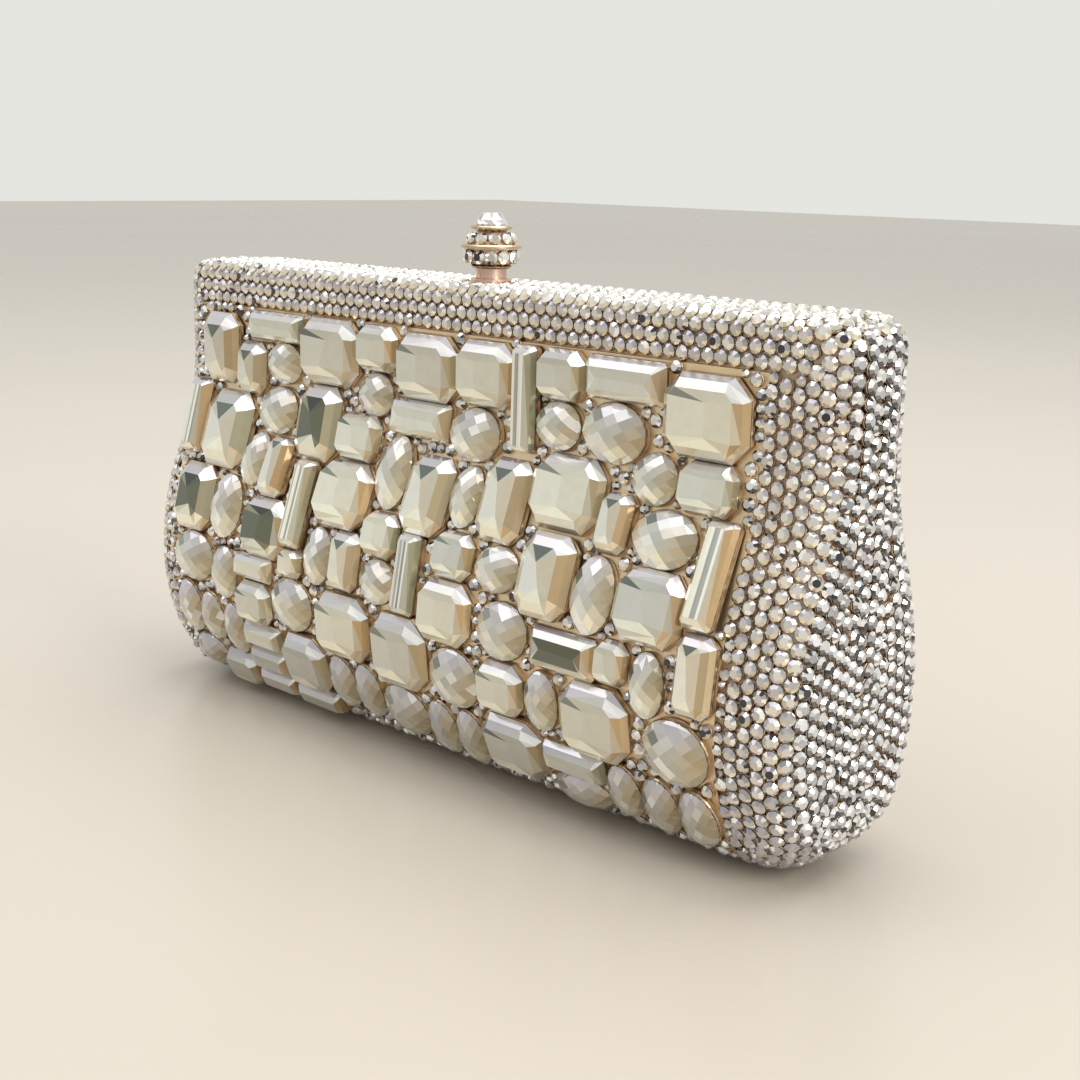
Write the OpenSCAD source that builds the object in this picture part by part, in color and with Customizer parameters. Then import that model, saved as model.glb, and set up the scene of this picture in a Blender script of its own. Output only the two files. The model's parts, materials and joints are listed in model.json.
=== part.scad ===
// Hard-shell evening clutch, set with crystals: two pressed half shells hinged along the bottom,
// closed by a jewelled push knob in the middle of the top.
// +Z up, X along the length, the front faces -Y. The origin is under the middle of the whole bag,
// so the seam between the halves lies a little behind it: the front stones stand out further.

/* [Body] */
// Overall length of the closed body
body_w = 210; // [180:1:260]
// Height of the closed body, without the knob
body_h = 112; // [104:1:140]
// Half depth of the body at the top and the waist
waist_half = 13; // [12.5:0.5:18]
// Half depth of the body at its widest
belly_half = 25; // [22:0.5:32]
// Height of the widest place
belly_z = 34; // [30:1:40]
// Height at which the straight upper part ends
waist_z = 90; // [80:1:98]
// Half depth of the flat that the bag stands on
base_half = 5; // [4:0.5:7]
// Radius of the long arc below the belly
side_r = 52; // [46:1:60]
// Radius of the long edges of the top
top_edge_r = 2.5; // [1.5:0.1:3]
// Radius of the upright corners between front, ends and back
upright_r = 9; // [6:0.5:10]
// Radius of the top corners, seen from the front
top_corner_r = 7; // [4:0.5:9]
// Radius of the bottom corners, seen from the front
base_corner_r = 16; // [10:1:20]

/* [Walls] */
// Depth of the bed of small crystals over the metal shell
pave_t = 1.5; // [1.2:0.1:2]
// Thickness of the pressed metal shell
shell_t = 1.3; // [0.8:0.1:1.6]
// Thickness of the padded lining
lining_t = 1.5; // [1:0.1:2.5]
// Width of the metal rim round each opening edge
rim_w = 2.85; // [2:0.05:4]
// Thickness of the front rim, which the rear rim's lip slides inside
rim_t = 1; // [0.8:0.05:1.5]
// Thickness of the rear rim's lip
lip_t = 1; // [0.8:0.05:1.5]
// How far the lip stands into the front half
lip_reach = 1.8; // [1:0.1:2.5]
// Clear gap between the two halves
seam_gap = 0.3; // [0.2:0.05:0.6]
// Clearance between the lip and the front rim
lip_clear = 0.15; // [0.1:0.05:0.4]
// Clearance between pieces laid against each other
lay_clear = 0.1; // [0.05:0.05:0.2]

/* [Hinge] */
// Outer radius of the hinge barrel
barrel_r = 1.8; // [1.5:0.1:2.2]
// Radius of the hinge pin
hinge_pin_r = 0.8; // [0.6:0.05:1]
// Radial clearance of the pin in the knuckles
pin_clear = 0.05; // [0.02:0.01:0.08]
// Number of knuckles, odd
knuckles = 17; // [9:2:25]
// End clearance of each knuckle
knuckle_gap = 0.2; // [0.1:0.05:0.5]
// Thickness of the hinge leaves
leaf_t = 0.8; // [0.6:0.1:1.2]
// Rivets in each leaf
leaf_rivets = 8; // [4:2:12]

/* [Knob] */
// Radius of the knob's stem
stem_r = 3.5; // [3:0.1:4]
// Radius of the lower rod
rod_r = 1.6; // [1.2:0.1:2]
// Radial clearance of the stem and the rod in their bores
slide_clear = 0.07; // [0.03:0.01:0.09]
// Outer radius of the collar
collar_r = 4.6; // [4.2:0.1:6]
// Travel of the knob when it is pressed
press_travel = 1.8; // [1.2:0.1:2]
// Radius over the widest ring
ring_r = 6.9; // [6:0.1:8]
// Radius of the round crystals of the lower row
lower_gem_r = 1.6; // [1.2:0.05:1.8]
// Crystals in the lower row
lower_gems = 12; // [10:1:12]
// Radius of the round crystals of the upper row
upper_gem_r = 1.4; // [1:0.05:1.5]
// Crystals in the upper row
upper_gems = 10; // [8:1:10]

/* [Front stones] */
// Height of the large stones above their bed
stone_t = 3.6; // [2.5:0.1:4.5]
// Straight part of a stone's side
girdle_t = 1.1; // [0.8:0.1:1.6]
// Radius of the filler crystals in the gaps
filler_r = 1.05; // [0.8:0.05:1.4]
// Spacing of the places tried for filler crystals
filler_pitch = 2.3; // [2:0.1:4]

/* [Hidden] */

bed_drop = 0.7;                              // how far the stones' bed lies under the crystals' tips
seam_y = (stone_t - bed_drop + 0.3) / 2;      // where the seam lies
wall_in = pave_t + shell_t;                  // from the crystals' tips to the inside of the metal
half_gap = seam_gap / 2;
rim_out = wall_in + lay_clear / 2;
lip_out = rim_out + rim_t + lip_clear;
lip_in = lip_out + lip_t;
lining_out = wall_in + 2 * lay_clear;
lining_in = lining_out + lining_t;
lining_start = half_gap + rim_w + 2 * lay_clear;

// Side profile: arcs that meet in line. Angles are measured from the horizontal.
sway = 2 * atan((belly_half - waist_half) / (waist_z - belly_z));
sway_r = (waist_z - belly_z) / 2 / sin(sway);
base_r = (pow(belly_z, 2) + pow(belly_half - base_half, 2) - 2 * (belly_half - base_half) * side_r)
         / (2 * belly_z - 2 * side_r);
side_turn = atan((belly_z - base_r) / (base_half - belly_half + side_r));

// Lengths along the profile, from the middle of the top
run_edge = waist_half - top_edge_r;
run_straight = run_edge + top_edge_r * PI / 2;
run_waist = run_straight + body_h - top_edge_r - waist_z;
run_sway = run_waist + sway_r * sway * PI / 180;
run_belly = run_sway + sway_r * sway * PI / 180;
run_under = run_belly + side_r * side_turn * PI / 180;

// Hinge
axis_z = barrel_r;
hinge_half = body_w / 2 - base_corner_r - 4;
knuckle_l = 2 * hinge_half / knuckles;
hinge_room = barrel_r + 0.5;                 // half width of the slot in the shells' bottom
slot_top = wall_in + 0.2;
leaf_z = wall_in;
hinge_top = max(leaf_z + leaf_t, 2 * barrel_r) + 0.5;

// Latch
foot_top = waist_z + 6.9;
foot_t = 1.2;
guide_z = foot_top + 0.1;
guide_t = 1.2;
shoulder_z = guide_z + guide_t + 6.3;
collar_top = body_h + 0.5;
knob_z = collar_top + press_travel + 0.5;    // underside of the knob's foot ring
hook_bite = 0.6;
lip_top = foot_top + 2.1;

// Panel of large stones on the front
wide = body_w / 210;
panel_left = -97 * wide;
panel_right = 87 * wide;
panel_top = body_h - 11;
panel_base = 3.2;

// A point of the side profile at a run, moved inward by depth: [half depth, height, normal angle]
function profile(run, depth = 0) =
    run < run_edge ? [run, body_h - depth, 90]
    : run < run_straight ? let (a = 90 - (run - run_edge) / top_edge_r * 180 / PI,
                                r = max(top_edge_r - depth, 0.3))
        [waist_half - depth - r + r * cos(a), body_h - depth - r + r * sin(a), a]
    : run < run_waist ? let (t = (run - run_straight) / (run_waist - run_straight),
                             z = body_h - depth - max(top_edge_r - depth, 0.3))
        [waist_half - depth, z + (waist_z - z) * t, 0]
    : run < run_sway ? let (a = (run - run_waist) / sway_r * 180 / PI)
        [waist_half + sway_r * (1 - cos(a)) - depth * cos(a), waist_z - (sway_r + depth) * sin(a), a]
    : run < run_belly ? let (a = sway - (run - run_sway) / sway_r * 180 / PI)
        [belly_half - sway_r * (1 - cos(a)) - depth * cos(a), belly_z + (sway_r - depth) * sin(a), a]
    : run < run_under ? let (a = (run - run_belly) / side_r * 180 / PI)
        [belly_half - side_r + (side_r - depth) * cos(a), belly_z - (side_r - depth) * sin(a), -a]
    : let (a = min(side_turn + (run - run_under) / base_r * 180 / PI, 90))
        [base_half + (base_r - depth) * cos(a), base_r - (base_r - depth) * sin(a), -a];

run_base = run_under + base_r * (90 - side_turn) * PI / 180;
panel_run = run_straight + body_h - top_edge_r - panel_top;
tall = (run_base - panel_run) / 112.01;        // the stones' heights follow the length of the profile

// Everything is drawn about the seam, then moved with it
module seated() translate([0, seam_y, 0]) children();

// Half length of the body at a height, moved inward by depth
function half_length(z, depth = 0) =
    let (rt = max(top_corner_r - depth, 0.5), zt = body_h - depth - rt,
         rb = base_corner_r - depth, zb = base_corner_r)
    body_w / 2 - depth
    - (z > zt ? rt - sqrt(max(pow(rt, 2) - pow(z - zt, 2), 0)) : 0)
    - (z < zb ? rb - sqrt(max(pow(rb, 2) - pow(zb - z, 2), 0)) : 0);

// Runs at which the body is sliced, closer together where it turns
slices = concat(
    [for (t = [0, 0.35, 0.7]) run_edge + (run_straight - run_edge) * t],
    [for (t = [0, 0.1, 0.2, 0.6]) run_straight + (run_waist - run_straight) * t],
    [for (t = [0, 0.33, 0.67]) run_waist + (run_sway - run_waist) * t],
    [for (t = [0, 0.33, 0.67]) run_sway + (run_belly - run_sway) * t],
    [for (t = [0, 0.25, 0.5, 0.75]) run_belly + (run_under - run_belly) * t],
    [for (t = [0, 0.25, 0.5, 0.75, 1]) run_under + (run_base - run_under) * t]);

// One slice of the rear half: round the end, along the back and round the other end
function slice_points(run, depth, start) =
    let (p = profile(run, depth), q = p[0], z = p[1], h = half_length(z, depth),
         r = max(min(upright_r - depth, q - start - 0.3), 0.3))
    concat([[h, start, z]],
           [for (a = [0:22.5:90]) [h - r + r * cos(a), q - r + r * sin(a), z]],
           [for (a = [90:22.5:180]) [-h + r + r * cos(a), q - r + r * sin(a), z]],
           [[-h, start, z]]);

// Closed rear half of the body, its faces moved inward by depth, from the plane y = start
module rear_half(depth, start) {
    rings = [for (run = slices) slice_points(run, depth, start)];
    n = len(rings[0]);
    m = len(rings);
    polyhedron(
        points = [for (ring = rings) each ring],
        faces = concat(
            [[for (i = [n - 1:-1:0]) i]],
            [[for (i = [0:n - 1]) (m - 1) * n + i]],
            [for (j = [0:m - 2], i = [0:n - 1]) each
                let (k = (i + 1) % n, a = j * n + i, b = j * n + k, c = a + n, d = b + n)
                [[a, b, d], [a, d, c]]]),
        convexity = 6);
}

// A layer of the rear half between two depths
module rear_layer(outer, inner, start = half_gap) {
    difference() {
        rear_half(outer, start);
        rear_half(inner, start - 1);
    }
}

module front() mirror([0, 1, 0]) children();

// Room for the hinge under the seam, and for the collar in the top
module hinge_slot(top = slot_top) {
    translate([-body_w, -hinge_room, -1]) cube([2 * body_w, 2 * hinge_room, top + 1]);
}

module collar_hole(r) {
    translate([0, 0, waist_z + 12]) cylinder(r = r, h = body_h - waist_z, $fn = 48);
}

// Outline of the body seen from the front, moved inward by depth
module outline(depth) {
    steps = [0:15:90];
    rt = top_corner_r - depth > 0.5 ? top_corner_r - depth : 0.5;
    rb = base_corner_r - depth;
    x = body_w / 2 - depth;
    polygon(concat(
        [for (a = steps) [x - rt + rt * cos(a), body_h - depth - rt + rt * sin(a)]],
        [for (a = steps) [-x + rt - rt * sin(a), body_h - depth - rt + rt * cos(a)]],
        [for (a = steps) [-x + rb - rb * cos(a), base_corner_r - rb * sin(a)]],
        [for (a = steps) [x - rb + rb * sin(a), base_corner_r - rb * cos(a)]]));
}

module outline_ring(outer, inner, y0, y1) {
    translate([0, y1, 0]) rotate([90, 0, 0]) linear_extrude(height = y1 - y0)
        difference() {
            outline(outer);
            outline(inner);
        }
}

// ---- Rear half ----

module rear_shell() {
    color("silver") seated() difference() {
        rear_layer(pave_t, wall_in);
        hinge_slot();
        collar_hole(collar_r + lay_clear);
    }
}

module rear_pave() {
    color("gainsboro") seated() difference() {
        rear_layer(0, pave_t);
        hinge_slot();
        collar_hole(collar_r + lay_clear);
    }
}

module rear_rim() {
    color("goldenrod") seated() difference() {
        union() {
            intersection() {
                outline_ring(rim_out, lip_in, half_gap, half_gap + rim_w);
                rear_half(rim_out, half_gap);
            }
            outline_ring(lip_out, lip_in, half_gap - lip_reach, half_gap + 0.01);
        }
        translate([-hinge_half - 1, -5, 0])
            cube([2 * hinge_half + 2, 10, hinge_top]);
        hinge_slot();
        collar_hole(collar_r + lay_clear);
    }
}

module lining_cuts(window_half, window_top) {
    translate([-body_w, -base_half - 0.3, 0])
        cube([2 * body_w, 2 * base_half + 0.6, lining_in + 0.5]);
    collar_hole(collar_r + 0.4);
    translate([-window_half, 0, waist_z - 2.5])
        cube([2 * window_half, waist_half, window_top - waist_z + 2.5]);
}

module rear_lining() {
    color("ivory") seated() difference() {
        rear_layer(lining_out, lining_in, lining_start);
        lining_cuts(guide_half + 0.5, guide_z + guide_t + 0.6);
    }
}

// Slip pocket sewn on the rear lining
pocket_half = 62;
pocket_base = 40;
pocket_h = 44;
pocket_t = 1.2;
module inner_pocket() {
    lean = atan((profile(run_belly)[0] - profile(run_waist)[0]) / (waist_z - belly_z));
    foot = belly_half - lining_in - pocket_t - 3.4;
    color("ivory") seated() translate([0, foot, pocket_base]) rotate([lean, 0, 0])
        translate([-pocket_half, 0, 0]) cube([2 * pocket_half, pocket_t, pocket_h]);
}

// Piano hinge leaf with every second knuckle; side 1 is the rear, -1 the front
module hinge_leaf(side, first) {
    difference() {
        union() {
            translate([-hinge_half, side > 0 ? hinge_room + 0.1 : -base_half + 0.1, leaf_z])
                cube([2 * hinge_half, base_half - hinge_room - 0.2, leaf_t]);
            for (i = [first:2:knuckles - 1]) {
                x = -hinge_half + i * knuckle_l + knuckle_gap / 2;
                translate([x, 0, axis_z]) rotate([0, 90, 0])
                    cylinder(r = barrel_r, h = knuckle_l - knuckle_gap, $fn = 32);
                translate([x, side > 0 ? 0 : -hinge_room - 0.2, leaf_z])
                    cube([knuckle_l - knuckle_gap, hinge_room + 0.2, leaf_t]);
            }
        }
        translate([-body_w / 2, 0, axis_z]) rotate([0, 90, 0])
            cylinder(r = hinge_pin_r + pin_clear, h = body_w, $fn = 32);
        for (i = [0:leaf_rivets - 1])
            translate([rivet_x(i), side * rivet_y, leaf_z - 1]) cylinder(r = 0.6, h = 3, $fn = 24);
    }
}

rivet_y = (hinge_room + base_half) / 2;
function rivet_x(i) = -hinge_half + (i + 0.5) * 2 * hinge_half / leaf_rivets;

module leaf_rivet_row(side) {
    color("gold") seated() for (i = [0:leaf_rivets - 1]) translate([rivet_x(i), side * rivet_y, leaf_z]) {
        cylinder(r = 0.55, h = leaf_t + 0.1, $fn = 24);
        translate([0, 0, leaf_t]) cylinder(r = 1, h = 0.35, $fn = 24);
    }
}

module rear_hinge_leaf() color("goldenrod") seated() hinge_leaf(1, 0);
module rear_leaf_rivets() leaf_rivet_row(1);

module hinge_pin() {
    color("silver") seated() translate([-hinge_half - 0.5, 0, axis_z]) rotate([0, 90, 0]) {
        cylinder(r = hinge_pin_r, h = 2 * hinge_half + 1, $fn = 32);
        translate([0, 0, -0.6]) cylinder(r = 1.3, h = 0.6, $fn = 32);
        translate([0, 0, 2 * hinge_half + 1]) cylinder(r = 1.3, h = 0.6, $fn = 32);
    }
}

module knob_collar() {
    color("rosybrown") seated() difference() {
        translate([0, 0, body_h - 6]) cylinder(r = collar_r, h = collar_top - body_h + 6, $fn = 48);
        translate([0, 0, body_h - 7]) cylinder(r = stem_r + slide_clear, h = 9, $fn = 48);
    }
}

// Bracket that guides the rod, screwed to the inside of the rear shell
guide_half = 9;
guide_back = waist_half - wall_in - lay_clear;
module latch_guide() {
    color("darkgoldenrod") seated() difference() {
        union() {
            translate([-guide_half, -4.6, guide_z]) cube([2 * guide_half, guide_back + 4.6, guide_t]);
            translate([-guide_half, guide_back - 1, waist_z - 2])
                cube([2 * guide_half, 1, guide_z - waist_z + 2.5]);
        }
        translate([0, 0, guide_z - 1]) cylinder(r = rod_r + slide_clear, h = 4, $fn = 32);
        for (x = [-6, 6]) translate([x, guide_back + 1, waist_z + 1.5]) rotate([90, 0, 0])
            cylinder(r = 0.8, h = 3, $fn = 24);
    }
}

module guide_screws() {
    color("gold") seated() for (x = [-6, 6]) translate([x, guide_back, waist_z + 1.5]) rotate([90, 0, 0]) {
        cylinder(r = 0.75, h = 1.05, $fn = 24);
        translate([0, 0, 1.02]) difference() {
            cylinder(r = 1.5, h = 0.7, $fn = 32);
            translate([-2, -0.2, 0.4]) cube([4, 0.4, 1]);
        }
    }
}

// Two eyes inside the ends of the rear rim, for a shoulder chain
eye_z = body_h - 16;
module chain_eyes() {
    rim_face = body_w / 2 - lip_in;
    color("goldenrod") seated() for (side = [-1, 1]) difference() {
        union() {
            translate([side * (rim_face - 3.6), 2.4, eye_z]) rotate([90, 0, 0])
                cylinder(r = 3, h = 1.2, $fn = 48);
            translate([side * (rim_face - 0.95) - 0.9, 1.2, eye_z - 1.2]) cube([1.8, 1.2, 2.4]);
        }
        translate([side * (rim_face - 3.6), 4, eye_z]) rotate([90, 0, 0])
            cylinder(r = 1.6, h = 4, $fn = 48);
    }
}

spring_wire_r = 0.35;
module return_spring() {
    low = guide_z + guide_t + spring_wire_r + 0.05;
    high = shoulder_z - spring_wire_r - 0.05;
    color("silver") seated() for (i = [0:4]) translate([0, 0, low + (high - low) * i / 4])
        rotate_extrude($fn = 48) translate([rod_r + 1, 0]) circle(r = spring_wire_r, $fn = 16);
}

// ---- Front half ----

module front_shell() {
    color("silver") seated() difference() {
        front() rear_layer(pave_t, wall_in);
        hinge_slot();
        collar_hole(collar_r + 0.4);
    }
}

module panel_box(margin) {
    translate([panel_left - margin, -belly_half - 1, panel_base - margin])
        cube([panel_right - panel_left + 2 * margin, belly_half - 4.5,
              panel_top - panel_base + 2 * margin]);
}

module front_pave() {
    color("gainsboro") seated() difference() {
        front() rear_layer(0, pave_t);
        hinge_slot();
        collar_hole(collar_r + 0.4);
        panel_box(0);
    }
}

module front_rim() {
    color("goldenrod") seated() difference() {
        intersection() {
            outline_ring(rim_out, rim_out + rim_t, -half_gap - rim_w, -half_gap);
            front() rear_half(rim_out, half_gap);
        }
        translate([-body_w, -5, 0]) cube([2 * body_w, 10, hinge_top + 0.1]);
        collar_hole(collar_r + 0.4);
    }
}

module front_lining() {
    color("ivory") seated() difference() {
        front() rear_layer(lining_out, lining_in, lining_start);
        mirror([0, 1, 0]) lining_cuts(hook_half + 0.5, lip_top + 3);
    }
}

module front_hinge_leaf() color("goldenrod") seated() hinge_leaf(-1, 1);
module front_leaf_rivets() leaf_rivet_row(-1);

// Bed that the large stones are set in
module stone_bed() {
    color("wheat") seated() intersection() {
        front() rear_layer(bed_drop, pave_t - 0.02);
        panel_box(-0.15);
    }
}

hook_half = 4;
module catch_hook() {
    back = -(waist_half - wall_in - lay_clear);
    tooth_z = lip_top - hook_bite;
    color("silver") seated() difference() {
        union() {
            translate([-hook_half, back, waist_z - 2]) cube([2 * hook_half, 1, lip_top - waist_z + 4]);
            translate([-hook_half, back, lip_top + 0.8]) cube([2 * hook_half, -back - 3.6, 1.2]);
            translate([-hook_half, -4.6, tooth_z]) cube([2 * hook_half, 1, 1.4 + hook_bite]);
        }
        for (x = [-2.2, 2.2]) translate([x, back + 2, waist_z + 1]) rotate([90, 0, 0])
            cylinder(r = 0.7, h = 3, $fn = 24);
    }
}

module hook_rivets() {
    back = -(waist_half - wall_in - lay_clear);
    color("gold") seated() for (x = [-2.2, 2.2]) translate([x, back, waist_z + 1]) rotate([-90, 0, 0]) {
        cylinder(r = 0.65, h = 1.05, $fn = 24);
        translate([0, 0, 1.02]) cylinder(r = 1.2, h = 0.5, $fn = 24);
    }
}

// Large stones: [x, run, width, height], laid out by hand as a mosaic over the front of a bag
// 210 long, whose panel starts at run 22.93, and stretched with it
function sized(list) = [for (s = list)
    [s[0] * wide, panel_run + (s[1] - 22.93) * tall, s[2] * wide, s[3] * tall]];
cushions = sized([
    [-40.5, 31.2, 20.5, 15.5], [-23, 28.8, 12.5, 10], [-6, 31.5, 19, 15], [13, 31, 17.5, 13.8],
    [35.5, 28.8, 13, 10], [74, 33, 20.5, 16.5], [-27.5, 50.5, 14, 11], [-28, 64.8, 19, 16],
    [40.5, 53.4, 19.5, 16], [76, 47, 13.5, 10.3], [-54.5, 77.3, 16.5, 14.5], [-12, 71.8, 11.5, 10.3],
    [12.5, 72.2, 12, 10.6], [68.5, 72.3, 17.5, 14.5], [-42.3, 84, 7, 6.5], [-57.5, 97, 13, 10.5],
    [-23, 95.8, 19, 15.5], [-3, 97.5, 18.5, 17], [12, 85, 16.5, 14], [61.5, 85, 7.5, 9],
    [30, 98, 12.5, 11], [57, 98.8, 18.5, 16], [-40, 109.5, 16.5, 15], [31.5, 112, 18, 15],
    [-70.5, 119, 12, 9.5]]);
emeralds = sized([
    [-84.5, 34, 14, 17.5], [-71.5, 38, 11, 12.5], [-78.5, 55, 18, 19.5], [-43, 49, 15, 18.5],
    [-55, 62, 8, 15], [0, 60.5, 14, 18], [23.5, 57.8, 13, 18.5], [54.7, 57.5, 8, 12.5],
    [-85.5, 74, 14, 16.5], [-23, 80, 9.5, 13.5], [40.5, 71.3, 14, 18], [82, 83, 9, 15]]);
baguettes = sized([
    [-61.5, 27, 20, 6.5], [25.3, 35, 6, 21.5], [53, 28, 20.5, 8], [-92.5, 53, 7, 19],
    [-7.5, 43.6, 19, 8.3], [-42.5, 69.5, 6.5, 21], [81.5, 63.5, 6.5, 21.5], [-1.5, 79, 6, 18],
    [-57.5, 88, 13.5, 6], [48, 86, 16.5, 8.5], [-56, 106, 14, 6.5], [-56, 113, 14, 6.5],
    [49.5, 110.5, 16.5, 6.5], [-56, 119.8, 14, 6.2], [-40, 120.5, 15, 6]]);
rounds = sized([
    [-58.5, 35.8, 12.5, 9.8], [-59.5, 47.8, 15.5, 12.5], [-23.5, 39.6, 12, 10], [10.5, 44.8, 16, 12.5],
    [35, 39.6, 12.5, 10], [50.5, 39.2, 17.5, 13], [62.5, 47, 12, 11], [68, 58.5, 15.5, 12.5],
    [-11, 82.6, 11.5, 10.5], [26, 72.6, 12, 10], [-83.5, 89.5, 16, 13], [-42.5, 94.5, 15.5, 13],
    [30, 85.3, 15.5, 13], [15, 99.5, 16, 14], [78, 99.8, 15.5, 14.5], [-4.5, 113.5, 15, 14],
    [-84, 117, 12, 10]]);
ovals = sized([
    [-64, 61, 9.5, 14.5], [-12.8, 57, 11, 18], [12, 58.8, 9, 14], [-71.5, 74.5, 11.5, 17],
    [-33, 80.5, 9, 14], [53.5, 72.8, 11, 17], [-70, 91.5, 9, 14], [70.5, 87.5, 9, 14],
    [42, 98, 9.5, 14], [-87, 104, 9, 14], [-77.5, 105, 8.5, 14], [-68, 106.5, 8.5, 14],
    [-26.5, 111.5, 9, 14.5], [-17, 111.5, 9, 14.5], [8, 114.5, 8.5, 14.5], [17.3, 114.5, 8.5, 14.5],
    [49.5, 118.5, 16, 8.5], [62.5, 114, 8.5, 13.5], [72, 114.5, 8.5, 13.5], [81.5, 114.5, 8.5, 13.5]]);
all_stones = concat(cushions, emeralds, baguettes, rounds, ovals);

// A stone with its corners cut at 45 degrees, or with an oval outline
function cut_corners(w, h, c) = [
    [w / 2, h / 2 - c], [w / 2 - c, h / 2], [c - w / 2, h / 2], [-w / 2, h / 2 - c],
    [-w / 2, c - h / 2], [c - w / 2, -h / 2], [w / 2 - c, -h / 2], [w / 2, c - h / 2]];
function oval_points(w, h) = [for (a = [15:30:345]) [w / 2 * cos(a), h / 2 * sin(a)]];

// Straight girdle with a sloping crown above it
module gem(points, inset) {
    n = len(points);
    w = max([for (p = points) p[0]]);
    h = max([for (p = points) p[1]]);
    table = [for (p = points) [p[0] * (w - inset) / w, p[1] * (h - inset) / h]];
    polyhedron(
        points = concat([for (p = points) [p[0], p[1], 0]], [for (p = points) [p[0], p[1], girdle_t]],
                        [for (p = table) [p[0], p[1], stone_t]]),
        faces = concat([[for (i = [0:n - 1]) i]], [[for (i = [n - 1:-1:0]) 2 * n + i]],
                       [for (j = [0, n], i = [0:n - 1]) each let (k = (i + 1) % n)
                            [[j + i, j + n + k, j + k], [j + i, j + n + i, j + n + k]]]));
}

// How far a flat-backed stone is lifted so that its ends clear the hollow of the waist
hollow_step = (run_sway - run_waist) * 0.34;
function lift(run, h) = 0.1 + (run + h / 2 > run_straight && run - h / 2 < run_sway
                               ? (pow(h, 2) + pow(hollow_step, 2)) / 8 / sway_r : 0);

// Places its children on the bed: x along the bag, y up the bag, z away from it
module on_front(x, run, h) {
    p = profile(run, bed_drop - lift(run, h));
    translate([x, -p[0], p[1]]) rotate([90 - p[2], 0, 0]) children();
}

module cushion_stones() color("antiquewhite") seated() for (s = cushions) on_front(s[0], s[1], s[3])
    gem(cut_corners(s[2], s[3], min(s[2], s[3]) * 0.2), min(s[2], s[3]) * 0.17);

module emerald_stones() color("linen") seated() for (s = emeralds) on_front(s[0], s[1], s[3])
    gem(cut_corners(s[2], s[3], s[2] * 0.2), s[2] * 0.24);

module baguette_stones() color("beige") seated() for (s = baguettes) on_front(s[0], s[1], s[3])
    gem(cut_corners(s[2], s[3], 0.7), min(s[2], s[3]) * 0.26);

module round_stones() color("lemonchiffon") seated() for (s = rounds) on_front(s[0], s[1], s[3])
    gem(oval_points(s[2], s[3]), s[3] * 0.2);

module oval_stones() color("lemonchiffon") seated() for (s = ovals) on_front(s[0], s[1], s[3])
    gem(oval_points(s[2], s[3]), min(s[2], s[3]) * 0.22);

// Distance from a place on the front to the edge of a stone's box
function clearance(x, run, s) =
    norm([max(abs(x - s[0]) - s[2] / 2, 0), max(abs(run - s[1]) - s[3] / 2, 0)]);

filler_top = run_straight + body_h - top_edge_r - panel_top + filler_r + 0.4;
filler_places = [
    for (j = [0:floor((run_under - filler_top) / filler_pitch)])
    let (first = panel_left + filler_r + 0.5 + (j % 2) * filler_pitch / 2)
    for (x = [first:filler_pitch:panel_right - filler_r - 0.3])
    let (run = filler_top + j * filler_pitch)
    if (min([for (s = all_stones) clearance(x, run, s)]) > filler_r + 0.1) [x, run]];

module filler_crystals() color("white") seated() for (p = filler_places) on_front(p[0], p[1], 2 * filler_r)
    cylinder(r = filler_r, h = 1.2, $fn = 8);

// ---- Knob ----

lower_z = knob_z + 1 + lower_gem_r;
wide_z = lower_z + lower_gem_r + 0.1;
upper_z = wide_z + 1.2 + upper_gem_r;
crown_z = upper_z + upper_gem_r + 0.3;
// The seats are wide enough for their rows of crystals side by side
lower_seat = max(ring_r - 1.9, (lower_gem_r - 0.35) / tan(180 / lower_gems));
upper_seat = max(ring_r - 2.9, (upper_gem_r - 0.2) / tan(180 / upper_gems) - 0.2);

module knob_stem() {
    color("rosybrown") seated() {
        translate([0, 0, shoulder_z]) cylinder(r = stem_r, h = knob_z - shoulder_z, $fn = 48);
        translate([0, 0, foot_top]) cylinder(r = rod_r, h = shoulder_z - foot_top + 0.01, $fn = 32);
    }
}

module knob_foot_ring() {
    color("goldenrod") seated() translate([0, 0, knob_z]) rotate_extrude($fn = 64)
        polygon([[0, 0], [4.3, 0], [4.7, 0.4], [4.7, 0.5], [4.3, 0.9], [0, 0.9]]);
}

module knob_core() {
    color("rosybrown") seated() rotate_extrude($fn = 64) polygon([
        [0, knob_z + 0.9], [4.2, knob_z + 0.9], [lower_seat, lower_z - 0.7], [lower_seat, wide_z],
        [0, wide_z]]);
    color("rosybrown") seated() rotate_extrude($fn = 64) polygon([
        [0, wide_z + 1.1], [upper_seat + 1, wide_z + 1.1], [upper_seat - 0.7, crown_z], [0, crown_z]]);
}

module knob_lower_crystals() {
    color("white") seated() for (i = [0:lower_gems - 1]) rotate([0, 0, (i + 0.5) * 360 / lower_gems])
        translate([lower_seat + 0.02, 0, lower_z]) rotate([0, 90, 0]) {
            cylinder(r = lower_gem_r - 0.4, h = 0.8, $fn = 24);
            translate([0, 0, 0.8]) cylinder(r1 = lower_gem_r - 0.4, r2 = 0.7, h = 0.9, $fn = 24);
        }
}

module knob_wide_ring() {
    color("goldenrod") seated() translate([0, 0, wide_z]) rotate_extrude($fn = 64)
        polygon([[0, 0], [ring_r - 0.4, 0], [ring_r, 0.35], [ring_r, 0.75], [ring_r - 0.4, 1.1], [0, 1.1]]);
}

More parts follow.
